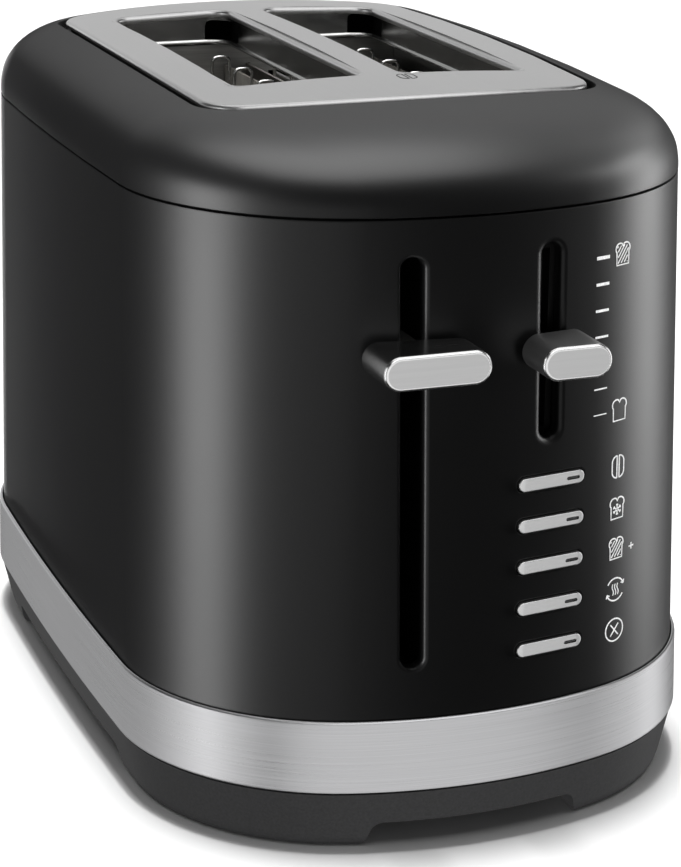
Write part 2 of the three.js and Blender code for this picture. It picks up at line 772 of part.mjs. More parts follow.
function makeReflector(side) {
  const x = side * REFLECTOR_X;
  const y0 = FRONT_PLATE_Y + END_PLATE_T + GAP;
  const y1 = REAR_PLATE_Y - GAP;
  const sheet = box(x - 0.4, x + 0.4, y0, y1, CHAMBER_LOW_Z, CHAMBER_TOP_Z - 1);
  const lipMiddle = x + side * 2;
  const lip = box(lipMiddle - 2, lipMiddle + 2, y0, y1, CHAMBER_LOW_Z, CHAMBER_LOW_Z + 0.8);
  const ribs = [-30, 10, 50].map((y) => box(x - 0.9 + side * 0.5, x + 0.9 + side * 0.5, y, y + 4, 30, 184));
  return union([sheet, lip, ...ribs]);
}

function makeHeaterCard(x) {
  const t = CARD_T / 2;
  const y0 = FRONT_PLATE_Y + END_PLATE_T + 2;
  const y1 = REAR_PLATE_Y - 2;
  const card = box(x - t, x + t, y0, y1, CARD_Z0, CARD_Z1);
  const tabs = [];
  for (const z of [CARD_Z0, CARD_Z1 - 8]) {
    tabs.push(box(x - t, x + t, FRONT_PLATE_Y - 2, REAR_PLATE_Y + END_PLATE_T + 2, z, z + 8));
  }
  const relief = [y0, y1].map((y) => box(x - 2, x + 2, y - 4, y + 4, WINDING_Z0 - 4, WINDING_Z1 + 4));
  return union([card, ...tabs]).subtract(union(relief));
}

function makeHeaterWinding(x) {
  const t = CARD_T / 2 + GAP + RIBBON_T / 2;
  const y0 = FRONT_PLATE_Y + END_PLATE_T + 6 - GAP - RIBBON_T / 2;
  const y1 = REAR_PLATE_Y - 6 + GAP + RIBBON_T / 2;
  const pitch = (WINDING_Z1 - WINDING_Z0) / WINDING_TURNS;
  const path = [];
  for (let i = 0; i < WINDING_TURNS; i++) {
    const z = WINDING_Z0 + i * pitch;
    path.push([x - t, y0, z], [x - t, y1, z + pitch * 0.42]);
    path.push([x + t, y1, z + pitch * 0.5], [x + t, y0, z + pitch * 0.92]);
  }
  path.push([x - t, y0, WINDING_Z1], [x - t, y1 - 8, WINDING_Z1]);
  return ribbon(path, RIBBON_T, RIBBON_W);
}

function makeBreadGuard({ side, x, inward }) {
  const px = side * x;
  const bars = [GUARD_LOW_Z, GUARD_HIGH_Z].map((z) =>
    wire(
      [
        [px, -66, z],
        [px, 86, z],
      ],
      GUARD_WIRE_R,
      5,
    ),
  );
  const uprights = GUARD_WIRES_Y.map((y) =>
    wire(
      [
        [px, y, GUARD_LOW_Z - 1.5],
        [px, y, 190],
        [px - inward * 2.2, y, 193.2],
        [px - inward * 6, y, 193.4],
      ],
      GUARD_WIRE_R * 0.97,
      5,
    ),
  );
  return union([...bars, ...uprights]);
}

// ---------------------------------------------------------------- controls
function makeBrowningStem() {
  const x = BROWN_X;
  const z = BROWN_Z;
  const shank = box(x - ARM_HALF, x + ARM_HALF, STEM_FRONT_Y, -132, z - ARM_HALF, z + ARM_HALF);
  const wiper = box(x - 1.2, x + 1.2, -133, -126.6, z - 1.6, z + 1.6);
  return union([shank, wiper]);
}

function makePotentiometer() {
  const body = box(BROWN_X - 6, BROWN_X + 6, -130.6, -124.6, 114, 176.5);
  const track = box(BROWN_X - 1.6, BROWN_X + 1.6, -140, -126.2, 119.4, 171.0);
  return body.subtract(track);
}

// The layer between two offsets from the case wall, round the height z.
function wallLayer(z, outer, inner) {
  return caseBlock(z - 6, z + 6, outer).subtract(caseBlock(z - 7, z + 7, inner));
}

function makeButton(z) {
  const blank = prismY(pill(BUTTON_X, z, BUTTON_W, BUTTON_H), ...FRONT_CUT);
  const skin = wallLayer(z, BUTTON_PROUD, BUTTON_PROUD - BUTTON_DEPTH);
  const stem = rodY(BUTTON_X, z, -136, -126.9, 1.2, 8);
  const pocket = prismY(pill(LENS_X, z, LENS_W + 0.4, LENS_H + 0.4, 3), ...FRONT_CUT);
  const recess = pocket.subtract(caseBlock(z - 7, z + 7, BUTTON_PROUD - 2.2));
  return union([blank.intersect(skin), stem]).subtract(recess);
}

function makeLens(z) {
  const blank = prismY(pill(LENS_X, z, LENS_W, LENS_H, 3), ...FRONT_CUT);
  return blank.intersect(wallLayer(z, BUTTON_PROUD - 0.1, BUTTON_PROUD - 1.9));
}

function makeButtonCarrier() {
  const [y0, y1] = BUTTON_PLATE_Y;
  const plate = box(7, 36, y0, y1, 50, 111.5);
  const holes = BUTTON_Z.map((z) => rodY(BUTTON_X, z, y0 - 10, y1 + 8, 1.7, 8));
  const feet = [52, 109].map((z) => box(9, 12, y1 - 0.2, CONTROL_BOARD_Y[0] - GAP, z - 1.5, z + 1.5));
  return cut(union([plate, ...feet]), holes);
}

function makeControlBoard() {
  const [y0, y1] = CONTROL_BOARD_Y;
  const board = box(2, 42, y0, y1, 46, 177);
  const switches = BUTTON_Z.map((z) => box(BUTTON_X - 3, BUTTON_X + 3, y0 - 1.3, y0 + 0.3, z - 3, z + 3));
  const chips = [box(28, 38, y1 - 0.2, y1 + 1.7, 120, 134), box(6, 16, y1 - 0.2, y1 + 3.2, 86, 98)];
  const legs = [4, 34].map((x) => box(x, x + 3, y0, y1, POWER_BOARD_Z[1] + GAP, 46.5));
  return union([board, ...switches, ...chips, ...legs]);
}

function makePowerBoard() {
  const [z0, z1] = POWER_BOARD_Z;
  const board = box(-9, 58, -120, -70, z0, z1);
  const relay = box(34, 50, -116, -102, z0 + 1, 30);
  const capacitor = rod(4, -110, z0 + 1, 34, 6, 12);
  const coil = box(-5, 3, -92, -74, z0 + 1, 24);
  return union([board, relay, capacitor, coil]);
}

function makeMainContacts() {
  const block = box(28, 46, -92, -78, 16.1, 24);
  const leaves = [31, 41].map((x) => box(x - 2.5, x + 2.5, -90, -89.2, 23, 38));
  const tips = [31, 41].map((x) => box(x - 2.5, x + 2.5, -90, -84, 37.4, 38.2));
  return union([block, ...leaves, ...tips]);
}

// ---------------------------------------------------------------- looks
function look(color, roughness, metalness) {
  return new THREE.MeshStandardMaterial({ color, roughness, metalness });
}

const BLACK_COAT = look(0x1b1b1c, 0.5, 0);
const SATIN_STEEL = look(0xb9b9ba, 0.3, 1);
const BRUSHED_STEEL = look(0xa9a9ab, 0.35, 1);
const SATIN_KNOB = look(0xb4b4b5, 0.35, 1);
const DARK_PLASTIC = look(0x3c3c3e, 0.6, 0);
const BLACK_PLASTIC = look(0x141414, 0.45, 0);
const RUBBER = look(0x101010, 0.8, 0);
const BRIGHT_SHEET = look(0x8f8b84, 0.4, 1);
const TRAY_SHEET = look(0xa2a3a4, 0.4, 1);
const WIRE_STEEL = look(0xc4c4c4, 0.25, 1);
const HEATER_WIRE = look(0x7c746c, 0.45, 1);
const MICA = look(0x8b8271, 0.7, 0);
const COPPER = look(0xb0602c, 0.35, 1);
const BOARD = look(0x23472f, 0.5, 0);
const LIGHT_WINDOW = look(0x2a2a2c, 0.2, 0);

// ---------------------------------------------------------------- assembly
const root = new THREE.Group();
root.name = "pop_up_toaster";
root.position.y = SHIFT_Y;

function add(name, material, made) {
  const m = made.getMesh();
  const g = new THREE.BufferGeometry();
  const count = m.vertProperties.length / m.numProp;
  const positions = new Float32Array(count * 3);
  for (let i = 0; i < count; i++) {
    positions.set(m.vertProperties.subarray(i * m.numProp, i * m.numProp + 3), i * 3);
  }
  g.setAttribute("position", new THREE.BufferAttribute(positions, 3));
  g.setIndex(new THREE.BufferAttribute(new Uint32Array(m.triVerts), 1));
  g.computeVertexNormals();
  const mesh = new THREE.Mesh(g, material);
  mesh.name = name;
  root.add(mesh);
}

add("lid", BLACK_COAT, makeLid());
add("top_plate", SATIN_STEEL, makeTopPlate());
add("body_shell", BLACK_COAT, makeBodyShell());
add("base_band", BRUSHED_STEEL, makeBaseBand());
add("base", DARK_PLASTIC, makeBase());
for (const [sy, end] of [
  [-1, "front"],
  [1, "rear"],
]) {
  for (const [sx, hand] of [
    [-1, "left"],
    [1, "right"],
  ]) {
    add(`foot_pad_${end}_${hand}`, RUBBER, makeFootPad(sx, sy));
    add(`base_screw_${end}_${hand}`, WIRE_STEEL, makeBaseScrew(sx, sy));
  }
}
add("cord_inlet", BLACK_PLASTIC, makeCordInlet());
add("crumb_tray", TRAY_SHEET, makeCrumbTray());
add("crumb_tray_handle", DARK_PLASTIC, makeTrayHandle());
add("lever_knob", SATIN_KNOB, makeKnob(LEVER_X, LEVER_Z, LEVER_W, LEVER_H, LEVER_GAP));
add("lever_arm", BRIGHT_SHEET, makeLeverArm());
add("lift_carriage", BLACK_PLASTIC, makeLiftCarriage());
add("guide_rod", WIRE_STEEL, makeGuideRod());
add("latch_keeper", BRIGHT_SHEET, makeLatchKeeper());
add("magnet_core", BRIGHT_SHEET, makeMagnetCore());
add("magnet_coil", COPPER, makeMagnetCoil());
add("lift_spring", WIRE_STEEL, makeLiftSpring());
add("front_end_plate", BRIGHT_SHEET, makeFrontEndPlate());
add("rear_end_plate", BRIGHT_SHEET, makeEndPlate(REAR_PLATE_Y, true));
for (const [side, hand] of [
  [-1, "left"],
  [1, "right"],
]) {
  add(`bread_rack_${hand}`, WIRE_STEEL, makeBreadRack(side));
  add(`reflector_${hand}`, BRIGHT_SHEET, makeReflector(side));
  for (const [x, tag] of [
    [CARD_INNER_X, "inner"],
    [CARD_OUTER_X, "outer"],
  ]) {
    add(`heater_card_${hand}_${tag}`, MICA, makeHeaterCard(side * x));
    add(`heater_winding_${hand}_${tag}`, HEATER_WIRE, makeHeaterWinding(side * x));
  }
}
for (const guard of guardList()) {
  const hand = guard.side < 0 ? "left" : "right";
  add(`bread_guard_${hand}_${guard.tag}`, WIRE_STEEL, makeBreadGuard(guard));
}
add("browning_knob", SATIN_KNOB, makeKnob(BROWN_X, BROWN_Z, BROWN_W, BROWN_H, BROWN_GAP));
add("browning_stem", BLACK_PLASTIC, makeBrowningStem());
add("browning_potentiometer", BLACK_PLASTIC, makePotentiometer());
BUTTON_Z.forEach((z, i) => {
  add(`button_${i + 1}`, SATIN_KNOB, makeButton(z));
  add(`lens_${i + 1}`, LIGHT_WINDOW, makeLens(z));
});
add("button_carrier", BLACK_PLASTIC, makeButtonCarrier());
add("control_board", BOARD, makeControlBoard());
add("power_board", BOARD, makePowerBoard());
add("main_contacts", COPPER, makeMainContacts());

export default root;
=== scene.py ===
"""Pop up toaster: fine surfaces, materials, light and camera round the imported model.

Shapes are in millimetres in the part's own frame. Materials, lights and the
camera's lens use Blender's units.
"""
import json
import math

import bmesh
import bpy
import numpy as np
from mathutils import Matrix, Vector

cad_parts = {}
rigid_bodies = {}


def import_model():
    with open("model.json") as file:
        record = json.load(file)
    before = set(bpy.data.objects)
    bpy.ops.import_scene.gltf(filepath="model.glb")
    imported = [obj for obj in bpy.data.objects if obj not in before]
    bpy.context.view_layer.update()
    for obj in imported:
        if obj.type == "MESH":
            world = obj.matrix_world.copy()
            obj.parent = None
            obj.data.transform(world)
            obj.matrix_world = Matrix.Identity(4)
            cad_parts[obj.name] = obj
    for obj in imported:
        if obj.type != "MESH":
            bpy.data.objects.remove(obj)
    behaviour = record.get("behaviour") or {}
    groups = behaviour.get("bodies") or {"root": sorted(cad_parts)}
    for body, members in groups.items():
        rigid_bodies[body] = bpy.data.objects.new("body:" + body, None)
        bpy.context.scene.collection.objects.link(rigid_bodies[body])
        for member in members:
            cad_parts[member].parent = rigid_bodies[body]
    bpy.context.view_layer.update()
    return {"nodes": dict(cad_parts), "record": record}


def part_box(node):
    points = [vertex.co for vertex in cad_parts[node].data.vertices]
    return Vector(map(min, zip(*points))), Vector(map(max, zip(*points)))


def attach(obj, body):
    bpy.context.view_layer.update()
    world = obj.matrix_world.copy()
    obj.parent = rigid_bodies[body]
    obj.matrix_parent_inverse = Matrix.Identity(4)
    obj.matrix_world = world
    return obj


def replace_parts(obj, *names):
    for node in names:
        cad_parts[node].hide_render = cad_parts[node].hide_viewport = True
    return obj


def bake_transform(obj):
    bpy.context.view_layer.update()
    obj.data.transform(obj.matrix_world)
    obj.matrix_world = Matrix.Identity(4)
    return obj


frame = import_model()

MM = 0.001
HANDS = (("left", -1), ("right", 1))
CORNERS = [(f"{end}_{hand}", sx, sy) for end, sy in (("front", -1), ("rear", 1)) for hand, sx in HANDS]

# ---- places taken from the frame ----
KNOB_FACE_Y = -155.2
SHIFT_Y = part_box("lever_knob")[0].y / MM - KNOB_FACE_Y

# ---- case ----
REF_Z = 100.0
HALF_WIDTH, HALF_WIDTH_DRAFT = 87.07, 0.0169
HALF_LENGTH, HALF_LENGTH_DRAFT = 139.76, 0.0384
SIDE_R, END_R, CORNER_R = 1969.0, 138.6, 67.4
SEAM_Z, SEAM_HALF_GAP = 183.0, 0.2
CASE_WALL = 1.5
SHELL_BOTTOM_Z = 18.7
CUT_Y0, CUT_Y1 = -170.0, -110.0
INLET_Z, INLET_HOLE_R = 52.0, 4.9

# ---- lid and plate ----
LID_POWER, LID_SWEEP, GUTTER_Z = 0.82, math.radians(65), 199.6
LID_RIM, LID_RIM_R, LID_RIM_DROP, GUTTER_DROP = 3.0, 0.45, 0.5, 4.4
SEAT_OUT, SEAT_IN, SEAT_DROP = -1.6, -2.4, 2.2
PLATE = dict(a=61.2, b=94.6, rs=1969.0, re=180.0, rc=14.0, cy=7.15)
PLATE_TOP_Z, CROWN_Y, CROWN_X = 208.7, 2.0, 2.4
PLATE_RIM_DROP, PLATE_ROLL, PLATE_SHEET, PLATE_FLAT = 1.7, 1.2, 0.8, 6
WELL_X0, WELL_X1, WELL_Y0, WELL_Y1 = 6.35, 45.08, -55.4, 77.0
WELL_FRONT_R, WELL_REAR_R, WELL_LIP, LINER_SETBACK, THROAT_Z = 3.0, 6.0, 1.4, 1.2, 196.0
RECESS_WIDTH, RECESS_SIDE, RECESS_Z0, RECESS_Z1 = 7.7, 12.0, THROAT_Z + 1.6, 204.2

# ---- band and base ----
BAND_Z0, BAND_Z1, BAND_PROUD = 18.4, 40.1, 1.4
BASE_Z0, BASE_Z1 = 0.4, 18.1
BASE_TOP_OFFSET, BASE_FOOT_INSET = 0.9, 3.6
BASE_WALL_IN, BASE_STEPS = -9.0, (4, 14, 10)
FLOOR_Z0, FLOOR_Z1 = 8.0, 11.0
NOTCH_X, NOTCH_Y, NOTCH_SLOPE = 31.0, 62.0, 2.4
FOOT_X, FOOT_Y, FOOT_HOLE_R = 50, 104, 9.3
SCREW_X, SCREW_Y, SCREW_HOLE_R = 42, 82, 4.2
VENT_X, VENT_Y, VENT_PITCH = 72.0, -37.5, 22.0
DOOR_HALF, DOOR_Z0, DOOR_Z1, DOOR_GAP, DOOR_THICK = 59.4, 9.0, 18.0, 0.3, 1.8
PULL_HALF, PULL_Y, PULL_FACE_Y, PULL_Z0, PULL_R = 27.0, 144.0, 150.2, 11.0, 5

# ---- front controls ----
LEVER = dict(x=-20.8, z=146.0, w=31.0, h=9.8, gap=4.0)
BROWNING = dict(x=19.9, z=144.6, w=20.5, h=9.7, gap=2.4)
LEVER_SLOT = dict(x=-20.75, w=6.5, z0=54.8, z1=172.2, lip=1.3)
BROWNING_SLOT = dict(x=20.1, w=5.7, z0=117.9, z1=173.1, lip=2.1)
BUTTON_X, BUTTON_W, BUTTON_H = 21.05, 21.5, 4.0
BUTTON_Z = (105.5, 93.4, 81.2, 68.9, 56.5)
BUTTON_PROUD = 0.9
LENS_X, LENS_W, LENS_H, LENS_GAP = 28.0, 4.1, 0.85, 0.08

# ---- prints ----
TICKS, TICK_X0, TICK_X1, TICK_TOP_Z, TICK_BOTTOM_Z = 7, 35.0, 39.6, 167.2, 122.0
ICON_X, LINE, INK_PROUD, INK_DEEP = 44.6, 0.42, 0.07, 0.03
ICON_Z = dict(light=122.1, bagel=105.3, frozen=92.9, longer=80.8, reheat=68.3, cancel=55.9)
FLAKE_DROP, PLUS_X, PLUS_DROP, PLUS_ARM = 0.4, 50.8, 0.9, 1.0

# ---- camera ----
EYE = (-278.2, -777.1, 343.0)
YAW, PITCH, ROLL, LENS_MM = 0.3536, 0.3086, 0.0091, 109.77

# ---- inside ----
GUARD_X = dict(inner=14.0, outer=37.5)
GUARD_WIRES_Y, GUARD_BARS_Z, GUARD_TOP_Z, GUARD_HOOK = (-54, -30, -6, 18, 42, 66), (28.0, 184.0), 193.6, 6.0
SPRING_R, SPRING_WIRE_R, SPRING_TURNS, SPRING_STEPS = 3.3, 0.5, 22, 14
RACK_X, RACK_Z, RACK_PIN_X, RACK_PIN_TOP_Z = 25.7, 132.6, 4.0, 137.5


# ---- mesh helpers ----
def to_frame(points):
    """Points in the part's own millimetres to metres in the frame."""
    return (np.asarray(points, float) + (0.0, SHIFT_Y, 0.0)) * MM


def new_mesh(name, points, faces, uv=None):
    """An object from points in millimetres, its faces turned outward."""
    mesh = bpy.data.meshes.new(name)
    mesh.from_pydata([tuple(p) for p in to_frame(points)], [], faces)
    if uv is not None:
        layer = mesh.uv_layers.new(name="along")
        layer.data.foreach_set("uv", np.asarray(uv, float).ravel())
    bm = bmesh.new()
    bm.from_mesh(mesh)
    bmesh.ops.recalc_face_normals(bm, faces=bm.faces)
    bm.to_mesh(mesh)
    bm.free()
    obj = bpy.data.objects.new(name, mesh)
    bpy.context.scene.collection.objects.link(obj)
    return obj


def make_object(name, points, faces, material, smooth_angle=40.0, uv=None, slot=None, body="case"):
    obj = new_mesh(name, points, faces, uv)
    obj.data.materials.append(material)
    shade(obj, smooth_angle)
    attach(obj, body)
    return obj


def shade(obj, angle):
    mesh = obj.data
    mesh.polygons.foreach_set("use_smooth", [True] * len(mesh.polygons))
    mesh.set_sharp_from_angle(angle=math.radians(angle))
    if "flat_faces" not in obj.modifiers:
        modifier = obj.modifiers.new("flat_faces", "WEIGHTED_NORMAL")
        modifier.mode = "FACE_AREA"
        modifier.keep_sharp = True


def grid_faces(rows, around, closed):
    faces = []
    for k in range(rows if closed else rows - 1):
        n = (k + 1) % rows
        for i in range(around):
            j = (i + 1) % around
            faces.append((k * around + i, k * around + j, n * around + j, n * around + i))
    return faces


def grid_uv(rings, closed):
    """u runs round the first ring and v along the profile, both in metres."""
    rings = np.asarray(rings, float)
    first = rings[0]
    steps = np.linalg.norm(np.roll(first, -1, axis=0) - first, axis=1)
    u = np.concatenate([[0.0], np.cumsum(steps)]) * MM
    order = np.concatenate([rings, rings[:1]])
    drops = np.linalg.norm(order[1:, 0] - order[:-1, 0], axis=1)
    v = np.concatenate([[0.0], np.cumsum(drops)]) * MM
    around = len(first)
    uv = []
    for k in range(len(rings) if closed else len(rings) - 1):
        for i in range(around):
            uv += [(u[i], v[k]), (u[i + 1], v[k]), (u[i + 1], v[k + 1]), (u[i], v[k + 1])]
    return uv


def hoop(name, rings, material, **more):
    """A closed profile carried round an outline."""
    rings = np.asarray(rings, float)
    faces = grid_faces(len(rings), rings.shape[1], True)
    return make_object(name, rings.reshape(-1, 3), faces, material, uv=grid_uv(rings, True), **more)


def stack(name, rings, material, **more):
    """A stack of rings with a flat or strip-filled cap at each end."""
    rings = np.asarray(rings, float)
    around = rings.shape[1]
    faces = grid_faces(len(rings), around, False)
    uv = grid_uv(rings, False)
    last = (len(rings) - 1) * around
    for start in (0, last):
        cap = strip_cap(start, around)
        faces += cap
        for face in cap:
            uv += [tuple(rings.reshape(-1, 3)[i][[0, 2]] * MM) for i in face]
    return make_object(name, rings.reshape(-1, 3), faces, material, uv=uv, **more)


def strip_cap(start, around):
    """Fills a ring that is symmetric about its middle with strips across it."""
    half = around // 2
    faces = []
    for i in range(half):
        a, b = start + i, start + i + 1
        c, d = start + (around - i - 1) % around, start + (around - i) % around
        face = [a, b, c, d]
        face = [v for k, v in enumerate(face) if v not in face[:k]]
        if len(face) > 2:
            faces.append(tuple(face))
    return faces


def closed_stack(rings):
    """Points and faces of a stack of rings of any plan, each end closed by one face."""
    rings = np.asarray(rings, float)
    rows, around = rings.shape[:2]
    faces = grid_faces(rows, around, False)
    faces += [tuple(range(around)), tuple(range((rows - 1) * around, rows * around))]
    return rings.reshape(-1, 3), faces


def tube(path, radius, sides=10):
    """Points and faces of a round rod through a path, ends closed."""
    path = np.asarray(path, float)
    ahead = np.gradient(path, axis=0)
    ahead /= np.linalg.norm(ahead, axis=1)[:, None]
    side = np.cross(ahead[0], (0.31, 0.17, 0.93))
    t = np.arange(sides) / sides * 2 * math.pi
    rings = []
    for p, d in zip(path, ahead):
        side = side - d * side.dot(d)
        side /= np.linalg.norm(side)
        up = np.cross(d, side)
        rings.append(p + radius * (np.outer(np.cos(t), side) + np.outer(np.sin(t), up)))
    return closed_stack(rings)


def joined(parts):
    """Several (points, faces) as one."""
    points, faces, base = [], [], 0
    for p, f in parts:
        points.append(p)
        faces += [tuple(i + base for i in face) for face in f]
        base += len(p)
    return np.concatenate(points), faces


def rounded_path(corners, radius, steps=6):
    """A polyline with each inner corner turned into an arc-like curve."""
    corners = [np.asarray(c, float) for c in corners]
    path = [corners[0]]
    for before, here, after in zip(corners, corners[1:], corners[2:]):
        back, on = before - here, after - here
        reach = min(radius, np.linalg.norm(back) / 2, np.linalg.norm(on) / 2)
        p0 = here + back / np.linalg.norm(back) * reach
        p2 = here + on / np.linalg.norm(on) * reach
        for t in np.linspace(0, 1, steps):
            path.append((1 - t) ** 2 * p0 + 2 * t * (1 - t) * here + t**2 * p2)
    path.append(corners[-1])
    return path


def cutter(rings):
    """A closed solid for cutting, from a stack of rings."""
    return new_mesh("cutter", *closed_stack(rings))


def cut(obj, cutters):
    """Cuts the solids away and leaves only the result."""
    obj.modifiers.clear()
    for tool in cutters:
        modifier = obj.modifiers.new("cut", "BOOLEAN")
        modifier.operation = "DIFFERENCE"
        modifier.solver = "EXACT"
        modifier.object = tool
    bpy.context.view_layer.update()
    graph = bpy.context.evaluated_depsgraph_get()
    mesh = bpy.data.meshes.new_from_object(obj.evaluated_get(graph))
    obj.modifiers.clear()
    old = obj.data
    obj.data = mesh
    mesh.name = obj.name
    bpy.data.meshes.remove(old)
    for tool in cutters:
        data = tool.data
        bpy.data.objects.remove(tool)
        bpy.data.meshes.remove(data)


def surface_normals(obj, normal_at, least=0.985):
    """Gives the faces that lie along a known surface its own normals, so cuts don't dent the shading."""
    obj.modifiers.clear()
    mesh = obj.data
    normals = np.array([c.vector for c in mesh.corner_normals])
    for poly in mesh.polygons:
        if normal_at(poly.center).dot(poly.normal) > least:
            for loop in poly.loop_indices:
                normals[loop] = normal_at(mesh.vertices[mesh.loops[loop].vertex_index].co)
    mesh.normals_split_custom_set([tuple(n) for n in normals])


# ---- outlines ----
def arcs_of(p):
    """Corner centre and the two joint angles of an outline with side, corner and end arcs."""
    c1x, c2y = p["a"] - p["rs"], p["b"] - p["re"]
    r1, r2 = p["rs"] - p["rc"], p["re"] - p["rc"]
    d = math.hypot(c1x, c2y)
    along = (r1 * r1 - r2 * r2 + d * d) / (2 * d)
    off = math.sqrt(max(r1 * r1 - along * along, 1e-9))
    ux, uy = -c1x / d, c2y / d
    kx, ky = c1x + ux * along + uy * off, uy * along - ux * off
    if kx < 0 or ky < 0:
        kx, ky = c1x + ux * along - uy * off, uy * along + ux * off
    return c1x, c2y, kx, ky, math.atan2(ky, kx - c1x), math.atan2(ky - c2y, kx)


def outline(p, steps=(2, 14, 10)):
    c1x, c2y, kx, ky, t1, t2 = arcs_of(p)
    quarter = []
    for cx, cy, r, lo, hi, n, first in (
        (c1x, 0, p["rs"], 0, t1, steps[0], 0),
        (kx, ky, p["rc"], t1, t2, steps[1], 1),
        (0, c2y, p["re"], t2, math.pi / 2, steps[2], 1),
    ):
        for i in range(first, n + 1):
            t = lo + (hi - lo) * i / n
            quarter.append((cx + r * math.cos(t), cy + r * math.sin(t)))
    q = np.array(quarter)
    ring = np.concatenate([q, q[-2::-1] * (-1, 1), q[1:] * (-1, -1), q[-2:0:-1] * (1, -1)])
    return ring + (0, p.get("cy", 0))


def grown(p, by):
    made = dict(p)
    for key in ("a", "b", "rs", "re", "rc"):
        made[key] = p[key] + by
    return made


def mixed(p, q, s):
    return {key: p[key] * (1 - s) + q[key] * s for key in p}


def case_at(z):
    return dict(
        a=HALF_WIDTH - HALF_WIDTH_DRAFT * (z - REF_Z),
        b=HALF_LENGTH - HALF_LENGTH_DRAFT * (z - REF_Z),
        rs=SIDE_R,
        re=END_R,
        rc=CORNER_R,
        cy=0.0,
    )


def at(ring, z):
    ring = np.asarray(ring, float)
    return np.column_stack([ring[:, 0], ring[:, 1], np.broadcast_to(z, len(ring))])


def across(ring, y):
    """A ring drawn in x and z, stood upright at one y."""
    return [(x, y, z) for x, z in ring]


def case_ring(z, by, steps=(2, 14, 10)):
    return at(outline(grown(case_at(z), by), steps), z)


def front_y(x, z, by=0.0):
    """The front wall's y at (x, z), the case grown by a distance."""
    p = grown(case_at(z), by)
    _, c2y, kx, ky, _, t2 = arcs_of(p)
    if abs(x) <= p["re"] * math.cos(t2):
        return -(c2y + math.sqrt(p["re"] ** 2 - x * x))
    return -(ky + math.sqrt(max(p["rc"] ** 2 - (abs(x) - kx) ** 2, 0.0)))


def case_normal(point):
    """The case wall's outward normal at a point given in the frame's metres."""
    x, y, z = point[0] / MM, point[1] / MM - SHIFT_Y, point[2] / MM
    c1x, c2y, kx, ky, t1, t2 = arcs_of(case_at(z))
    ax, ay = abs(x), abs(y)
    if math.atan2(ay, ax - c1x) < t1:
        nx, ny = ax - c1x, ay
    elif math.atan2(ay - c2y, ax) > t2:
        nx, ny = ax, ay - c2y
    else:
        nx, ny = ax - kx, ay - ky
    n = Vector((math.copysign(nx, x), math.copysign(ny, y), 0)).normalized()
    n.z = abs(n.x) * HALF_WIDTH_DRAFT + abs(n.y) * HALF_LENGTH_DRAFT
    return n.normalized()


def base_offset(z):
    t = (z - BASE_Z0) / (BASE_Z1 - BASE_Z0)
    return -BASE_FOOT_INSET + t * (BASE_FOOT_INSET + BASE_TOP_OFFSET)


def crown(x, y):
    return PLATE_TOP_Z - CROWN_Y * ((y - PLATE["cy"]) / 100) ** 2 - CROWN_X * (x / 60) ** 2


def crowned(ring, drop):
    return np.column_stack([ring, crown(ring[:, 0], ring[:, 1]) - drop])


def crown_normal(point):
    x, y = point[0] / MM, point[1] / MM - SHIFT_Y
    return Vector((2 * CROWN_X * x / 3600, 2 * CROWN_Y * (y - PLATE["cy"]) / 10000, 1)).normalized()


def rounded_box(cx, cy, w, h, r, steps=8):
    """A rectangle with round corners; r is one radius or four, from the +x +y corner anticlockwise."""
    radii = r if isinstance(r, tuple) else (r, r, r, r)
    ring = []
    for q, (sx, sy) in enumerate(((1, 1), (-1, 1), (-1, -1), (1, -1))):
        for i in range(steps + 1):
            t = (q + i / steps) * math.pi / 2
            x, y = sx * (w / 2 - radii[q]), sy * (h / 2 - radii[q])
            ring.append((cx + x + radii[q] * math.cos(t), cy + y + radii[q] * math.sin(t)))
    return np.array(ring)


def circle(cx, cy, r, sides):
    t = np.arange(sides) / sides * 2 * math.pi
    return [(cx + r * math.cos(a), cy + r * math.sin(a)) for a in t]


def pill(cx, cz, w, h, steps=12, inset=0.0):
    """A bar with full round ends, moved inward by inset."""
    w, h = w - 2 * inset, h - 2 * inset
    return rounded_box(cx, cz, w, h, min(w, h) / 2 - 0.005, steps)


def quarter_roll(r, steps=8):
    """Outward step and drop of points along an edge rolled down with radius r."""
    turns = [k / steps * math.pi / 2 for k in range(steps + 1)]
    return [(r * (1 - math.sin(t)), r * (1 - math.cos(t))) for t in turns]


def on_front(ring, depth):
    """A ring drawn in x and z, laid on the front wall and pushed in by depth."""
    return np.array([(x, front_y(x, z) + depth, z) for x, z in ring])


def bowed(ring, z, proud, by=0.0):
    """A ring drawn in x and z that takes the front wall's bow at one height."""
    return np.array([(px, front_y(px, z, by) - proud, pz) for px, pz in ring])


# ---- materials ----
def node_material(name):
    material = bpy.data.materials.new(name)
    material.use_nodes = True
    return material, material.node_tree, material.node_tree.nodes["Principled BSDF"]


def fed(tree, kind, source, into, out, values):
    """Adds a node with its values set, links source into it and gives back one of its outputs."""
    made = tree.nodes.new(kind)
    for key, value in values.items():
        made.inputs[key].default_value = value
    tree.links.new(source, made.inputs[into])
    return made.outputs[out]


def noise(tree, vector, scale, detail, rough):
    values = {"Scale": scale, "Detail": detail, "Roughness": rough}
    return fed(tree, "ShaderNodeTexNoise", vector, "Vector", "Fac", values)


def spread(tree, value, low, high):
    """Stretches the middle half of a noise over low to high."""
    values = {"From Min": 0.25, "From Max": 0.75, "To Min": low, "To Max": high}
    return fed(tree, "ShaderNodeMapRange", value, "Value", "Result", values)


def stretched(tree, source, scale):
    return fed(tree, "ShaderNodeMapping", source, "Vector", "Vector", {"Scale": scale})


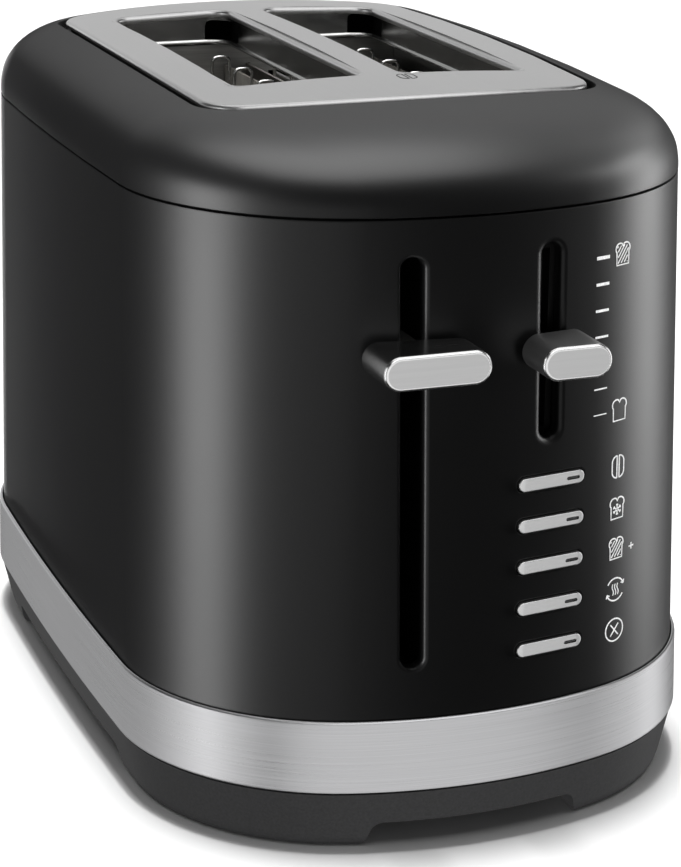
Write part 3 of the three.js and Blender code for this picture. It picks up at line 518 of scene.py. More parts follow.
def tinted(tree, value, dark, light):
    ramp = tree.nodes.new("ShaderNodeValToRGB")
    for stop, color, place in zip(ramp.color_ramp.elements, (dark, light), (0.3, 0.7)):
        stop.color = (*color, 1)
        stop.position = place
    tree.links.new(value, ramp.inputs["Fac"])
    return ramp.outputs["Color"]


def bump(tree, shader, height, strength, distance):
    values = {"Strength": strength, "Distance": distance}
    normal = fed(tree, "ShaderNodeBump", height, "Height", "Normal", values)
    tree.links.new(normal, shader.inputs["Normal"])


def coat_material(name, color, roughness, grain=1700.0, strength=0.35, specular=0.5):
    """Fine powder coat or moulded plastic: even colour, a pebbled grain and slightly varying gloss."""
    material, tree, shader = node_material(name)
    place = tree.nodes.new("ShaderNodeTexCoord").outputs["Object"]
    fine = noise(tree, place, grain, 3.0, 0.6)
    broad = noise(tree, place, 9.0, 3.0, 0.5)
    tint = tinted(tree, fine, [c * 0.8 for c in color], [c * 1.25 for c in color])
    tree.links.new(tint, shader.inputs["Base Color"])
    tree.links.new(spread(tree, broad, roughness - 0.02, roughness + 0.03), shader.inputs["Roughness"])
    shader.inputs["Specular IOR Level"].default_value = specular
    bump(tree, shader, fine, strength, COAT_GRAIN_M)
    return material


def brushed_material(name, color, roughness, scale, contrast, source="Object", anisotropy=0.0):
    """Brushed metal: long fine lines in colour, gloss and relief, stretched by scale."""
    material, tree, shader = node_material(name)
    place = tree.nodes.new("ShaderNodeTexCoord").outputs[source]
    lines = noise(tree, stretched(tree, place, scale), 1.0, 4.0, 0.65)
    broad = noise(tree, place, 14.0, 2.0, 0.5)
    dark = [c * (1 - contrast) for c in color]
    light = [min(c * (1 + contrast), 1.0) for c in color]
    tree.links.new(tinted(tree, lines, dark, light), shader.inputs["Base Color"])
    add = tree.nodes.new("ShaderNodeMath")
    add.operation = "ADD"
    tree.links.new(spread(tree, lines, -0.05, 0.05), add.inputs[0])
    tree.links.new(spread(tree, broad, roughness - 0.02, roughness + 0.02), add.inputs[1])
    tree.links.new(add.outputs[0], shader.inputs["Roughness"])
    shader.inputs["Metallic"].default_value = 1.0
    if anisotropy:
        shader.inputs["Anisotropic"].default_value = anisotropy
        tangent = tree.nodes.new("ShaderNodeTangent")
        tangent.direction_type = "UV_MAP"
        tree.links.new(tangent.outputs["Tangent"], shader.inputs["Tangent"])
    bump(tree, shader, lines, 0.3, BRUSH_LINE_M)
    return material


COAT_GRAIN_M, BRUSH_LINE_M = 0.00003, 0.00001
BLACK_COAT = coat_material("black_coat", (0.006, 0.006, 0.0063), 0.40)
TOP_STEEL = brushed_material("satin_steel", (0.56, 0.56, 0.56), 0.34, (900, 30, 30), 0.05)
BAND_STEEL = brushed_material("brushed_band", (0.55, 0.55, 0.56), 0.30, (12, 2600, 1), 0.10, "UV", 0.75)
BASE_PLASTIC = coat_material("dark_plastic", (0.035, 0.035, 0.036), 0.55, 1200, 0.3)
BLACK_PLASTIC = coat_material("black_plastic", (0.008, 0.008, 0.008), 0.42, 900)
# Near-black and almost glossless: painted shade, for pieces put behind openings so that they read as shadow.
SHADE_BLACK = coat_material("painted_shade_black", (0.002, 0.002, 0.002), 0.8, 900, specular=0.1)
RUBBER = coat_material("foot_rubber", (0.010, 0.010, 0.010), 0.8, 700)
KNOB_SIDE = brushed_material("satin_knob", (0.52, 0.52, 0.52), 0.24, (60, 1500, 1500), 0.05)
SOFT_KNOB_SIDE = brushed_material("soft_knob", (0.52, 0.52, 0.52), 0.40, (60, 1500, 1500), 0.05)
# Lighter than the knob: partly a polished chamfer, partly a painted highlight so that the thin rim reads
# white.
KNOB_EDGE_HIGHLIGHT = brushed_material("knob_edge", (0.85, 0.85, 0.85), 0.25, (60, 1500, 1500), 0.03)
KNOB_FACE = brushed_material("knob_face", (0.56, 0.56, 0.56), 0.38, (25, 1200, 1200), 0.05)
BUTTON_SKIN = brushed_material("button_satin", (0.70, 0.70, 0.70), 0.36, (60, 1500, 1500), 0.04)
WIRE_STEEL = brushed_material("wire_steel", (0.45, 0.45, 0.44), 0.25, (200, 200, 200), 0.10)
SCREW_STEEL = brushed_material("screw_steel", (0.45, 0.45, 0.44), 0.35, (500, 500, 500), 0.15)
BRIGHT_SHEET = brushed_material("bright_sheet", (0.50, 0.50, 0.49), 0.36, (40, 40, 1500), 0.18)
TRAY_SHEET = brushed_material("tray_sheet", (0.42, 0.42, 0.43), 0.38, (40, 1200, 40), 0.12)
HEATER_WIRE = brushed_material("heater_wire", (0.22, 0.19, 0.17), 0.45, (400, 40, 400), 0.2)
LINER_STEEL = brushed_material("polished_liner", (0.30, 0.30, 0.295), 0.22, (30, 30, 300), 0.10)
COPPER = brushed_material("coil_copper", (0.52, 0.17, 0.06), 0.35, (100, 100, 2500), 0.25)
MICA = coat_material("mica", (0.30, 0.285, 0.26), 0.55, 160, 0.2)
BOARD = coat_material("circuit_board", (0.012, 0.050, 0.022), 0.45, 500)
PRINT = coat_material("print_grey", (0.80, 0.80, 0.80), 0.6, 1500, 0.1)
DARK_PRINT = coat_material("print_dark", (0.09, 0.09, 0.09), 0.6, 1500, 0.1)
LENS_SMOKE = coat_material("light_window", (0.05, 0.05, 0.052), 0.2, 300, 0.05)


# ---- outer case ----
def plate_plan(by):
    """The plate's outline moved outward, its end arcs kept at their own radius."""
    return dict(grown(PLATE, by), re=PLATE["re"])


def lid_rings(by, z0, z_most, count=22):
    """Rings from the seam up to the rim, which follows the plate's crown a little below it."""
    seam, rim = case_at(SEAM_Z), plate_plan(LID_RIM)
    edge = outline(rim)
    top = crown(edge[:, 0], edge[:, 1]) - LID_RIM_DROP
    rings = []
    for i in range(count + 1):
        t = i / count * LID_SWEEP
        s = (1 - math.cos(t) ** LID_POWER) / (1 - math.cos(LID_SWEEP) ** LID_POWER)
        h = (math.sin(t) / math.sin(LID_SWEEP)) ** LID_POWER
        rings.append(at(outline(grown(mixed(seam, rim, s), by)), np.minimum(z0 + h * (top - z0), z_most)))
    return rings


def rim_ring(by, below):
    """A ring round the plate, a distance out and below its crown."""
    return crowned(outline(plate_plan(by)), below)


def make_lid():
    """Domed lid: a thin black shell whose top edge turns down into the gutter that the plate sits over."""
    seam = case_at(SEAM_Z)
    low = SEAM_Z + SEAM_HALF_GAP
    start = ((0.7, low), (0.3, low + 0.03), (0.1, low + 0.15))
    edge = [at(outline(grown(seam, -by)), z) for by, z in start]
    outer = lid_rings(0, low + 0.4, PLATE_TOP_Z)[:-1]
    r, gutter = LID_RIM_R, LID_RIM - LID_RIM_R
    turns = [k / 5 * math.pi / 2 for k in range(6)]
    roll = [rim_ring(LID_RIM - r * math.sin(t), LID_RIM_DROP + r * (1 - math.cos(t))) for t in turns]
    floor = [rim_ring(gutter, GUTTER_DROP - 0.2), rim_ring(gutter - 0.3, GUTTER_DROP)]
    floor += [rim_ring(SEAT_OUT, GUTTER_DROP), rim_ring(SEAT_OUT, SEAT_DROP), rim_ring(SEAT_IN, SEAT_DROP)]
    floor += [at(outline(plate_plan(SEAT_IN)), GUTTER_Z - CASE_WALL)]
    inner = lid_rings(-CASE_WALL, low, GUTTER_Z - CASE_WALL)[::-1]
    lid = hoop("lid_shell", edge + outer + roll + floor + inner, BLACK_COAT, slot="black_coat")
    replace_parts(lid, "lid")


def make_seam_shade_tongue():
    """A thin near-black tongue behind the seam: painted shade that keeps the parting line dark."""
    seam = case_at(SEAM_Z)
    section = [(1.6, -5.0), (1.6, 4.2), (1.9, 4.6), (2.3, 4.6), (2.6, 4.2), (2.6, -5.0)]
    rings = [at(outline(grown(seam, -by)), SEAM_Z + dz) for by, dz in section]
    hoop("seam_shade_tongue", rings, SHADE_BLACK, slot="black_plastic")


def slot_ring(slot, by, steps=12):
    return pill(slot["x"], (slot["z0"] + slot["z1"]) / 2, slot["w"], slot["z1"] - slot["z0"], steps, -by)


def front_hole(ring):
    """A cutter through the front wall, drawn in x and z."""
    return cutter([across(ring, y) for y in (CUT_Y0, CUT_Y1)])


def make_body_shell():
    top = SEAM_Z - SEAM_HALF_GAP
    profile = [(SHELL_BOTTOM_Z, 0), (top - 0.5, 0), (top - 0.15, -0.1), (top, -0.5)]
    profile += [(top, -CASE_WALL), (SHELL_BOTTOM_Z, -CASE_WALL)]
    rings = [case_ring(z, by, (2, 16, 12)) for z, by in profile]
    shell = hoop("case_wall", rings, BLACK_COAT, slot="black_coat")
    tools = [front_hole(slot_ring(s, s["lip"] - 0.02)) for s in (LEVER_SLOT, BROWNING_SLOT)]
    tools += [front_hole(pill(BUTTON_X, z, BUTTON_W, BUTTON_H, inset=-0.78)) for z in BUTTON_Z]
    inlet = circle(0, INLET_Z, INLET_HOLE_R, 40)
    tools.append(cutter([across(inlet, y) for y in (-CUT_Y1, -CUT_Y0)]))
    cut(shell, tools)
    shade(shell, 30)
    surface_normals(shell, case_normal)
    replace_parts(shell, "body_shell")


def front_lip(name, ring_at, roll, deep):
    """The wall's rolled edge round a hole: ring_at gives the hole's outline grown by a distance."""
    section = quarter_roll(roll)
    section += [(0, deep), (0.5, deep), (0.5, roll + 0.6), (roll * 0.6, roll * 0.5 + 0.9), (roll, 1.2)]
    rings = [on_front(ring_at(by), d) for by, d in section]
    hoop(name, rings, BLACK_COAT, slot="black_coat", smooth_angle=60)


def slot_shade_guide(name, slot):
    """Near-black guide behind a slot: two cheeks of painted shade that keep the slot dark and steer the stem.
    """
    parts = []
    z0, z1 = slot["z0"] - 3, slot["z1"] + 3
    for side in (-1, 1):
        x0 = slot["x"] + side * (slot["w"] / 2 + 0.3)
        x1 = x0 + side * 1.0
        ring = [(x0, z0), (x1, z0), (x1, z1), (x0, z1)]
        points = [(x, front_y(x, z) + 5.0, z) for x, z in ring] + across(ring, -118.0)
        faces = [(0, 1, 2, 3), (4, 5, 6, 7)] + [(i, (i + 1) % 4, 4 + (i + 1) % 4, 4 + i) for i in range(4)]
        parts.append((np.array(points), faces))
    make_object(name, *joined(parts), SHADE_BLACK, slot="black_plastic")


def make_base_band():
    low, high, out = BAND_Z0, BAND_Z1, BAND_PROUD
    profile = [(low, 0.5), (low, out - 0.45), (low + 0.12, out - 0.15), (low + 0.4, out), (low + 1.0, out)]
    profile += [(high - 1.6, out), (high - 0.9, out), (high - 0.55, out - 0.1), (high - 0.25, out - 0.32)]
    profile += [(high - 0.05, out - 0.62), (high, out - 0.85), (high, 0.5)]
    rings = [case_ring(z, by, (8, 18, 14)) for z, by in profile]
    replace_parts(hoop("brushed_band", rings, BAND_STEEL, slot="brushed_band", smooth_angle=50), "base_band")


def soft_notch(half, along_y):
    """A cutter for the gap between two feet, with rounded upper corners, running along y or x."""
    top, low = FLOOR_Z0, half + NOTCH_SLOPE
    left = [(-low - 1, -2), (-low + NOTCH_SLOPE * 0.25, top * 0.25), (-half, top), (0, top)]
    line = rounded_path(left, 4.0)
    ring = [(u, z) for u, z in line] + [(-u, z) for u, z in line[-2::-1]]
    if along_y:
        return cutter([across(ring, s * 175.0) for s in (-1, 1)])
    return cutter([[(s * 105.0, u, z) for u, z in ring] for s in (-1, 1)])


def make_base():
    top = base_offset(BASE_Z1)
    outer = [(BASE_Z1, top - 0.6), (BASE_Z1 - 0.2, top - 0.1)]
    outer += [(z, base_offset(z)) for z in (16.5, 12.0, 7.5, 3.4)]
    toe = ((1.4, 0.1), (0.6, 0.45), (0.15, 1.0))
    outer += [(BASE_Z0 + dz, base_offset(BASE_Z0 + dz) - by) for dz, by in toe]
    outer += [(BASE_Z0, -7.0), (BASE_Z0, BASE_WALL_IN)]
    well = [(FLOOR_Z1, BASE_WALL_IN), (FLOOR_Z1, -4.0), (BASE_Z1, -3.4)]
    skin, hollow = ([case_ring(z, by, BASE_STEPS) for z, by in part] for part in (outer, well))
    base = base_body(skin, hollow)
    tools = [soft_notch(NOTCH_X, True), soft_notch(NOTCH_Y, False)]
    for sx in (-1, 1):
        for i in range(5):
            vent = rounded_box(sx * VENT_X, VENT_Y + VENT_PITCH * i, 12.0, 5.0, 2.0, 4)
            tools.append(cutter([at(vent, z) for z in (6.0, 13.0)]))
        for sy in (-1, 1):
            foot = circle(sx * FOOT_X, sy * FOOT_Y, FOOT_HOLE_R, 32)
            tools.append(cutter([at(foot, z) for z in (-1.0, 3.0)]))
            screw = circle(sx * SCREW_X, sy * SCREW_Y, SCREW_HOLE_R, 32)
            tools.append(cutter([at(screw, z) for z in (-1.0, 5.0)]))
    mouth = [(-57.0, 60.0), (57.0, 60.0), (57.0, 170.0), (-57.0, 170.0)]
    tools.append(cutter([at(mouth, FLOOR_Z1), at(mouth, 20.0)]))
    cut(base, tools)
    shade(base, 28)
    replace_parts(base, "base")


def base_body(skin, well):
    """The plinth as one closed solid: its outer skin, flat underside, floor and inner wall."""
    rings = np.asarray(skin + well, float)
    around, split = rings.shape[1], len(skin)

    def crosses(face):
        return {i // around for i in face} == {split - 1, split}

    faces = [f for f in grid_faces(len(rings), around, True) if not crosses(f)]
    faces += [tuple(range(row * around, (row + 1) * around)) for row in (split - 1, split)]
    points = rings.reshape(-1, 3)
    return make_object("plinth", points, faces, BASE_PLASTIC, slot="dark_plastic", smooth_angle=28)


def plate_ring(inset, drop, share=1.0):
    ring = outline(grown(PLATE, -inset), (2, 12, 10))
    ring = np.column_stack([ring[:, 0] * share, PLATE["cy"] + (ring[:, 1] - PLATE["cy"]) * share])
    return crowned(ring, drop)


def well_ring(side, by, steps=8):
    cx, cy = side * (WELL_X0 + WELL_X1) / 2, (WELL_Y0 + WELL_Y1) / 2
    rear, front = WELL_REAR_R + by, WELL_FRONT_R + by
    w, h = WELL_X1 - WELL_X0 + 2 * by, WELL_Y1 - WELL_Y0 + 2 * by
    return rounded_box(cx, cy, w, h, (rear, rear, front, front), steps)


def make_top_plate():
    """Crowned satin plate with a rolled rim, cut for the two wells."""
    rim = quarter_roll(PLATE_ROLL)
    rings = [plate_ring(PLATE_FLAT, PLATE_SHEET, s) for s in (0.02, 0.5, 1.0)]
    rings += [plate_ring(i * 0.6 + PLATE_SHEET, min(d * 0.6 + PLATE_SHEET, 1.6)) for i, d in rim]
    rings += [plate_ring(PLATE_SHEET, PLATE_RIM_DROP), plate_ring(0, PLATE_RIM_DROP)]
    rings += [plate_ring(i, d) for i, d in rim[::-1]]
    rings += [plate_ring(1.6, 0)] + [plate_ring(PLATE_FLAT, 0, s) for s in (1.0, 0.75, 0.5, 0.25, 0.02)]
    plate = stack("top_plate_skin", rings, TOP_STEEL, slot="satin_steel", smooth_angle=50)
    cut(plate, [cutter([at(well_ring(s, WELL_LIP - 0.02), z) for z in (190.0, 215.0)]) for s in (-1, 1)])
    shade(plate, 50)
    surface_normals(plate, crown_normal, 0.9995)
    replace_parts(plate, "top_plate")
    for hand, side in HANDS:
        make_well_lip(side, hand)
        make_well_liner(side, hand)


def make_well_lip(side, hand):
    """The plate's edge rolled down into a well."""
    flat = [(WELL_LIP + 0.5, -0.015), (WELL_LIP + 0.1, -0.015)]
    under = [(0, 2.2), (0.15, 2.4), (0.4, 2.2), (WELL_LIP, 0.78), (WELL_LIP + 0.5, 0.4)]
    rings = [crowned(well_ring(side, by), drop) for by, drop in flat + quarter_roll(WELL_LIP) + under]
    hoop(f"well_lip_{hand}", rings, TOP_STEEL, slot="satin_steel", smooth_angle=60)


def make_well_liner(side, hand):
    """Polished liner behind the lip, open at its rear right corner, where a near-black cup of painted shade
    closes the hole.
    """
    back = LINER_SETBACK
    rings = [crowned(well_ring(side, back + by), 0.9) for by in (0.5, 0.0)]
    bead = [(0.0, 1.9), (-0.15, 1.5), (-0.5, 1.3), (-0.75, 0.9), (-0.75, 0.5), (-0.5, 0.1)]
    bead += [(0.0, 0.0), (0.5, 0.3)]
    rings += [at(well_ring(side, back + by), THROAT_Z + dz) for by, dz in bead]
    liner = hoop(f"well_liner_{hand}", rings, LINER_STEEL, slot="satin_steel", smooth_angle=50)
    right = max(side * WELL_X0, side * WELL_X1) + back
    x0, x1, y0, y1 = right - RECESS_WIDTH, right + 4.0, WELL_Y1 - RECESS_SIDE, WELL_Y1 + 6.0
    window = rounded_path([(x0, RECESS_Z0), (x0, RECESS_Z1), (x1, RECESS_Z1)], 2.5)
    window.append((x1, RECESS_Z0))
    cut(liner, [cutter([across(window, y) for y in (y0, y1)])])
    shade(liner, 50)
    # The cup is painted shade: a near-black box that makes the opened corner read as a dark hollow.
    near = WELL_Y1 + back + 0.6
    plan = [(x0 - 1.2, near), (x0 - 1.2, y1), (x1, y1), (x1, y0 - 1.0), (x1 - 1.0, y0 - 1.0)]
    plan += [(x1 - 1.0, y1 - 1.0), (x0 - 0.2, y1 - 1.0), (x0 - 0.2, near)]
    cup = closed_stack([at(plan, z) for z in (THROAT_Z + 0.4, RECESS_Z1 + 1.0)])
    make_object(f"recess_shade_cup_{hand}", *cup, SHADE_BLACK, slot="black_plastic")


# ---- knobs and buttons ----
def make_knob(name, spec, node, body, side):
    """Pill knob: flat brushed face, a rim whose lighter colour is partly polish and partly a painted
    highlight, sides running back to a hollow that follows the case.
    """
    face = KNOB_FACE_Y

    def ring(inset):
        return pill(spec["x"], spec["z"], spec["w"], spec["h"], 16, inset)

    hollow = [(0.9, 0.0), (0.35, 0.05), (0.08, 0.3), (0, 0.7)]
    rings = [bowed(ring(inset), spec["z"], more, spec["gap"]) for inset, more in hollow]
    turns = [k / 6 * math.pi / 2 for k in range(7)]
    front = [(0, 1.6)] + [(1 - math.cos(t), 1 - math.sin(t)) for t in turns] + [(1.12, 0)]
    rings += [across(ring(inset), face + back) for inset, back in front]
    knob = stack(name, rings, side, slot="satin_knob", smooth_angle=35, body=body)
    knob.data.materials.append(KNOB_FACE)
    knob.data.materials.append(KNOB_EDGE_HIGHLIGHT)
    # Face polygons take the face finish; rim polygons take the lighter edge colour, partly a painted
    # highlight.
    for poly in knob.data.polygons:
        deepest = max(knob.data.vertices[v].co.y for v in poly.vertices) / MM - SHIFT_Y - face
        if deepest < 0.01:
            poly.material_index = 1
        elif deepest < 1.05:
            poly.material_index = 2
    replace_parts(knob, node)


def make_button(index, z):
    """Pill button that follows the bowed front, with a small light window near its right end."""
    body = f"button_{index}_cap"
    levels = [(0.3, -3.4), (0.0, -3.0), (0.0, 0.5), (0.05, 0.68), (0.16, 0.82), (0.32, 0.89)]
    levels.append((0.42, BUTTON_PROUD))
    rings = [bowed(pill(BUTTON_X, z, BUTTON_W, BUTTON_H, 16, i), z, proud) for i, proud in levels]
    button = stack(f"button_cap_{index}", rings, BUTTON_SKIN, slot="button_satin", smooth_angle=60, body=body)
    opening, wall = pill(LENS_X, z, LENS_W, LENS_H, 8, -LENS_GAP), front_y(LENS_X, z)
    cut(button, [cutter([across(opening, y) for y in (wall - 4, wall + 0.6)])])
    shade(button, 40)
    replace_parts(button, f"button_{index}")
    levels = [(0, -0.5), (0, 0.25), (0.1, 0.4), (0.3, 0.46)]
    rings = [bowed(pill(LENS_X, z, LENS_W, LENS_H, 8, i), z, proud) for i, proud in levels]
    lens = stack(f"light_window_{index}", rings, LENS_SMOKE, slot="light_window", body=body)
    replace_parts(lens, f"lens_{index}")


# ---- prints ----
def beside(along, width):
    """Half a line's width, square to each direction."""
    along = along / np.maximum(np.linalg.norm(along, axis=1), 1e-9)[:, None]
    return np.column_stack([-along[:, 1], along[:, 0]]) * width / 2


def heading(angle):
    return np.array((math.cos(angle), math.sin(angle)))


def stroke(points, width, closed=False):
    """A flat printed line through points (x, z), as (points, faces) laid on the front wall."""
    p = np.asarray(points, float)
    if closed:
        before, after = np.roll(p, 1, axis=0), np.roll(p, -1, axis=0)
    else:
        before, after = np.vstack([p[:1], p[:-1]]), np.vstack([p[1:], p[-1:]])
    n = beside(after - before, width)
    rows = ((p + n, INK_PROUD), (p - n, INK_PROUD), (p - n, -INK_DEEP), (p + n, -INK_DEEP))
    made = [on_front(ring, -proud) for ring, proud in rows]
    count = len(p)
    faces = []
    for i in range(count if closed else count - 1):
        j = (i + 1) % count
        for a in range(4):
            b = (a + 1) % 4
            faces.append((a * count + i, a * count + j, b * count + j, b * count + i))
    if not closed:
        faces += [(0, count, 2 * count, 3 * count), (count - 1, 2 * count - 1, 3 * count - 1, 4 * count - 1)]
    return np.concatenate(made), faces


def arc_points(cx, cz, r, a0, a1, n):
    t = np.radians(np.linspace(a0, a1, n))
    return [(cx + r * math.cos(a), cz + r * math.sin(a)) for a in t]


def slice_outline(cx, cz, w=5.5, h=6.2):
    """A slice of bread: straight sides and two lobes at the top with a dip between them."""
    lobe, side = w * 0.29, w * 0.42
    left = [(-side, -h / 2), (-side * 1.02, h * 0.1)]
    left += arc_points(-w * 0.21, h / 2 - lobe, lobe, 205, 62, 9) + [(0, h / 2 - lobe * 0.62)]
    right = [(-x, z) for x, z in left[-2::-1]]
    return [(cx + x, cz + z) for x, z in left + right]


def inside(polygon, x, z):
    hit = False
    for (x0, z0), (x1, z1) in zip(polygon, polygon[1:] + polygon[:1]):
        if (z0 > z) != (z1 > z) and x < (x1 - x0) * (z - z0) / (z1 - z0) + x0:
            hit = not hit
    return hit


def hatch(polygon, cx, cz, pitch=0.95, width=0.36):
    """Slanted lines clipped to a shape."""
    lines = []
    d = heading(math.radians(54))
    n = np.array((-d[1], d[0]))
    for k in range(-5, 6):
        start = np.array((cx, cz)) + n * k * pitch
        runs = [start + d * t for t in np.linspace(-5.5, 5.5, 90)]
        kept = [tuple(p) for p in runs if inside(polygon, *p)]
        if len(kept) > 6:
            lines.append(stroke([kept[2], kept[len(kept) // 2], kept[-3]], width))
    return lines


def print_object(name, parts):
    make_object(name, *joined(parts), PRINT, slot="satin_knob")


def make_ticks():
    """Browning marks that get thinner toward the light end."""
    for i in range(TICKS):
        z = TICK_TOP_Z - (TICK_TOP_Z - TICK_BOTTOM_Z) * i / (TICKS - 1)
        line = [(x, z) for x in (TICK_X0, 36.6, 38.1, TICK_X1)]
        print_object(f"browning_tick_{i + 1}", [stroke(line, 0.95 - 0.65 * i / (TICKS - 1))])


def slice_icon(z, hatched=False):
    """A slice of bread at a height in the icon column, hatched when it stands for dark toast."""
    parts = [stroke(slice_outline(ICON_X, z), LINE, True)]
    return parts + hatch(slice_outline(ICON_X, z, 4.8, 5.5), ICON_X, z) if hatched else parts


def flake(z):
    """A six-armed snowflake with a small fork on each arm."""
    parts = []
    middle = np.array((ICON_X, z))
    for k in range(6):
        a = math.radians(90 + 60 * k)
        out = heading(a)
        parts.append(stroke([middle + 0.25 * out, middle + 0.9 * out, middle + 1.65 * out], 0.40))
        root = middle + 1.05 * out
        for turn in (-42, 42):
            arm = heading(a + math.radians(turn))
            parts.append(stroke([root, root + 0.3 * arm, root + 0.6 * arm], 0.30))
    return parts


def bagel_icon(z):
    parts = []
    for side in (-1, 1):
        flat = ICON_X + side * 0.42
        bow = arc_points(flat, z + 1.4, 1.85, 90, 0, 8) + arc_points(flat, z - 1.4, 1.85, 0, -90, 8)
        ring = [(flat, z + 3.25)] + [(flat + side * (px - flat), pz) for px, pz in bow] + [(flat, z - 3.25)]
        parts.append(stroke(ring, LINE, True))
    return parts


def reheat_icon(z):
    """Two chasing arrows round three rising waves."""
    x, parts = ICON_X, []
    for start in (20, 200):
        parts.append(stroke(arc_points(x, z, 3.4, start, start + 128, 16), LINE))
        end = math.radians(start)
        tip = np.array((x + 3.4 * math.cos(end), z + 3.4 * math.sin(end)))
        for turn in (60, 135):
            barb = heading(end + math.radians(turn))
            parts.append(stroke([tip, tip + 0.55 * barb, tip + 1.1 * barb], LINE * 0.9))
    for k in (-1, 0, 1):
        rise = np.linspace(0, 1, 14)
        wave = [(x + k * 0.95 + 0.28 * math.sin(t * 2 * math.pi), z - 1.7 + 3.4 * t) for t in rise]
        parts.append(stroke(wave, 0.34))
    return parts


def make_icons():
    print_object("icon_dark_slice", slice_icon(TICK_TOP_Z, True))
    print_object("icon_light_slice", slice_icon(ICON_Z["light"]))
    print_object("icon_bagel", bagel_icon(ICON_Z["bagel"]))
    z = ICON_Z["frozen"]
    print_object("icon_frozen_slice", slice_icon(z) + flake(z - FLAKE_DROP))
    z = ICON_Z["longer"]
    px, pz, arm = PLUS_X, z - PLUS_DROP, PLUS_ARM
    bars = ([(px - arm, pz), (px, pz), (px + arm, pz)], [(px, pz - arm), (px, pz), (px, pz + arm)])
    print_object("icon_longer_slice", slice_icon(z, True) + [stroke(bar, LINE) for bar in bars])
    print_object("icon_reheat", reheat_icon(ICON_Z["reheat"]))
    x, z = ICON_X, ICON_Z["cancel"]
    cross = [stroke(arc_points(x, z, 3.4, 0, 350, 36), LINE, True)]
    cross += [stroke([(x - 1.5, z - s * 1.75), (x, z), (x + 1.5, z + s * 1.75)], LINE) for s in (-1, 1)]
    print_object("icon_cancel", cross)


def make_plate_icon():
    """The small bagel mark on the plate, just in front of the bridge between the wells."""
    parts = []
    cx, cy, half, straight = 5.6, -61.6, 2.1, 1.2
    for side in (-1, 1):
        bow = arc_points(0, straight, half, 90, 0, 8) + arc_points(0, -straight, half, 0, -90, 8)
        parts.append(plate_stroke([(cx + side * 0.5 + side * x, cy + y) for x, y in bow], 0.34))
    make_object("plate_bagel_mark", *joined(parts), DARK_PRINT, slot="satin_steel")


def plate_stroke(ring, width):
    """A closed printed line on the plate, through points (x, y)."""
    p = np.asarray(ring, float)
    n = beside(np.roll(p, -1, axis=0) - np.roll(p, 1, axis=0), width)
    rings = [crowned(p + n, -0.06), crowned(p - n, -0.06), crowned(p - n, 0.03), crowned(p + n, 0.03)]
    return np.concatenate(rings), grid_faces(4, len(p), True)


# ---- inside and underside ----
def make_guards():
    """Bread guards: upright wires with hooked tops on two carrying bars."""
    for hand, side in HANDS:
        for tag, inward in (("inner", side), ("outer", -side)):
            node = f"bread_guard_{hand}_{tag}"
            y0, y1 = (corner.y / MM - SHIFT_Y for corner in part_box(node))
            px = side * GUARD_X[tag]
            tip, top = px - inward * GUARD_HOOK, GUARD_TOP_Z
            parts = [tube([(px, y, z) for y in (y0, 10, y1)], 0.9) for z in GUARD_BARS_Z]
            for y in GUARD_WIRES_Y:
                hook = [(px, y, 26.5), (px, y, 120), (px, y, top), (tip, y, top), (tip, y, 186.0)]
                parts.append(tube(rounded_path(hook, 2.2, 8), 0.55))
            name, body = f"guard_wires_{hand}_{tag}", f"guard_{hand}_{tag}"
            guard = make_object(name, *joined(parts), WIRE_STEEL, slot="wire_steel", body=body)
            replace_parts(guard, node)


def make_spring():
    """Lift spring: a coil between the fixed shelf and the carriage."""
    low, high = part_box("lift_spring")
    cx, cy = (low.x + high.x) / 2 / MM, (low.y + high.y) / 2 / MM - SHIFT_Y
    z0, z1 = low.z / MM + 0.6, high.z / MM - 0.6
    steps = SPRING_TURNS * SPRING_STEPS
    path = []
    for i in range(steps + 1):
        t = i / SPRING_STEPS * 2 * math.pi
        path.append((cx + SPRING_R * math.cos(t), cy + SPRING_R * math.sin(t), z0 + (z1 - z0) * i / steps))
    spring = new_mesh("lift_spring_coil", *tube(path, SPRING_WIRE_R, 8))
    spring.data.materials.append(WIRE_STEEL)
    shade(spring, 50)
    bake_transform(spring)
    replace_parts(spring, "lift_spring")


def make_racks():
    """Bread shelves: a round-edged bar each, with five pairs of upright pins."""
    for hand, side in HANDS:
        x, top, low = side * RACK_X, RACK_PIN_TOP_Z, RACK_Z - 0.2
        section = rounded_box(x, RACK_Z, 8.9, 1.15, 0.5, 4)
        parts = [closed_stack([across(section, y) for y in (-76.9, -76.6, 87.6, 87.9)])]
        for i in range(5):
            y0, y1 = -46 + i * 28 + 0.5, -46 + i * 28 + 8.5
            for px in (x - RACK_PIN_X, x + RACK_PIN_X):
                pin = [(px, y0, low), (px, y0, top), (px, y1, top), (px, y1, low)]
                parts.append(tube(rounded_path(pin, 1.6, 6), 0.45, 8))
        rack = make_object(f"rack_wires_{hand}", *joined(parts), WIRE_STEEL, slot="wire_steel", body="lift")
        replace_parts(rack, f"bread_rack_{hand}")


def turned_piece(name, cx, cy, profile, material, slot, axis="z"):
    """A piece turned on a lathe: profile is (radius, height) points round the whole section."""
    rings = []
    for r, h in profile:
        ring = circle(cx, cy, r, 48)
        rings.append(at(ring, h) if axis == "z" else across(ring, h))
    return hoop(name, rings, material, slot=slot, smooth_angle=35)


def make_feet():
    """Rubber pads with a rounded rim and two grip grooves round a dished middle."""
    profile = [(0.05, 2.6), (8.9, 2.6), (8.9, 0.6), (8.7, 0.25), (8.3, 0.05), (7.9, 0.0)]
    for r in (6.4, 4.6):
        profile += [(r + 0.5, 0.0), (r + 0.3, 0.4), (r - 0.3, 0.4), (r - 0.5, 0.0)]
    profile += [(3.2, 0.0), (2.9, 0.45), (0.05, 0.55)]
    for corner, sx, sy in CORNERS:
        name = f"foot_pad_round_{corner}"
        pad = turned_piece(name, sx * FOOT_X, sy * FOOT_Y, profile, RUBBER, "foot_rubber")
        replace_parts(pad, f"foot_pad_{corner}")


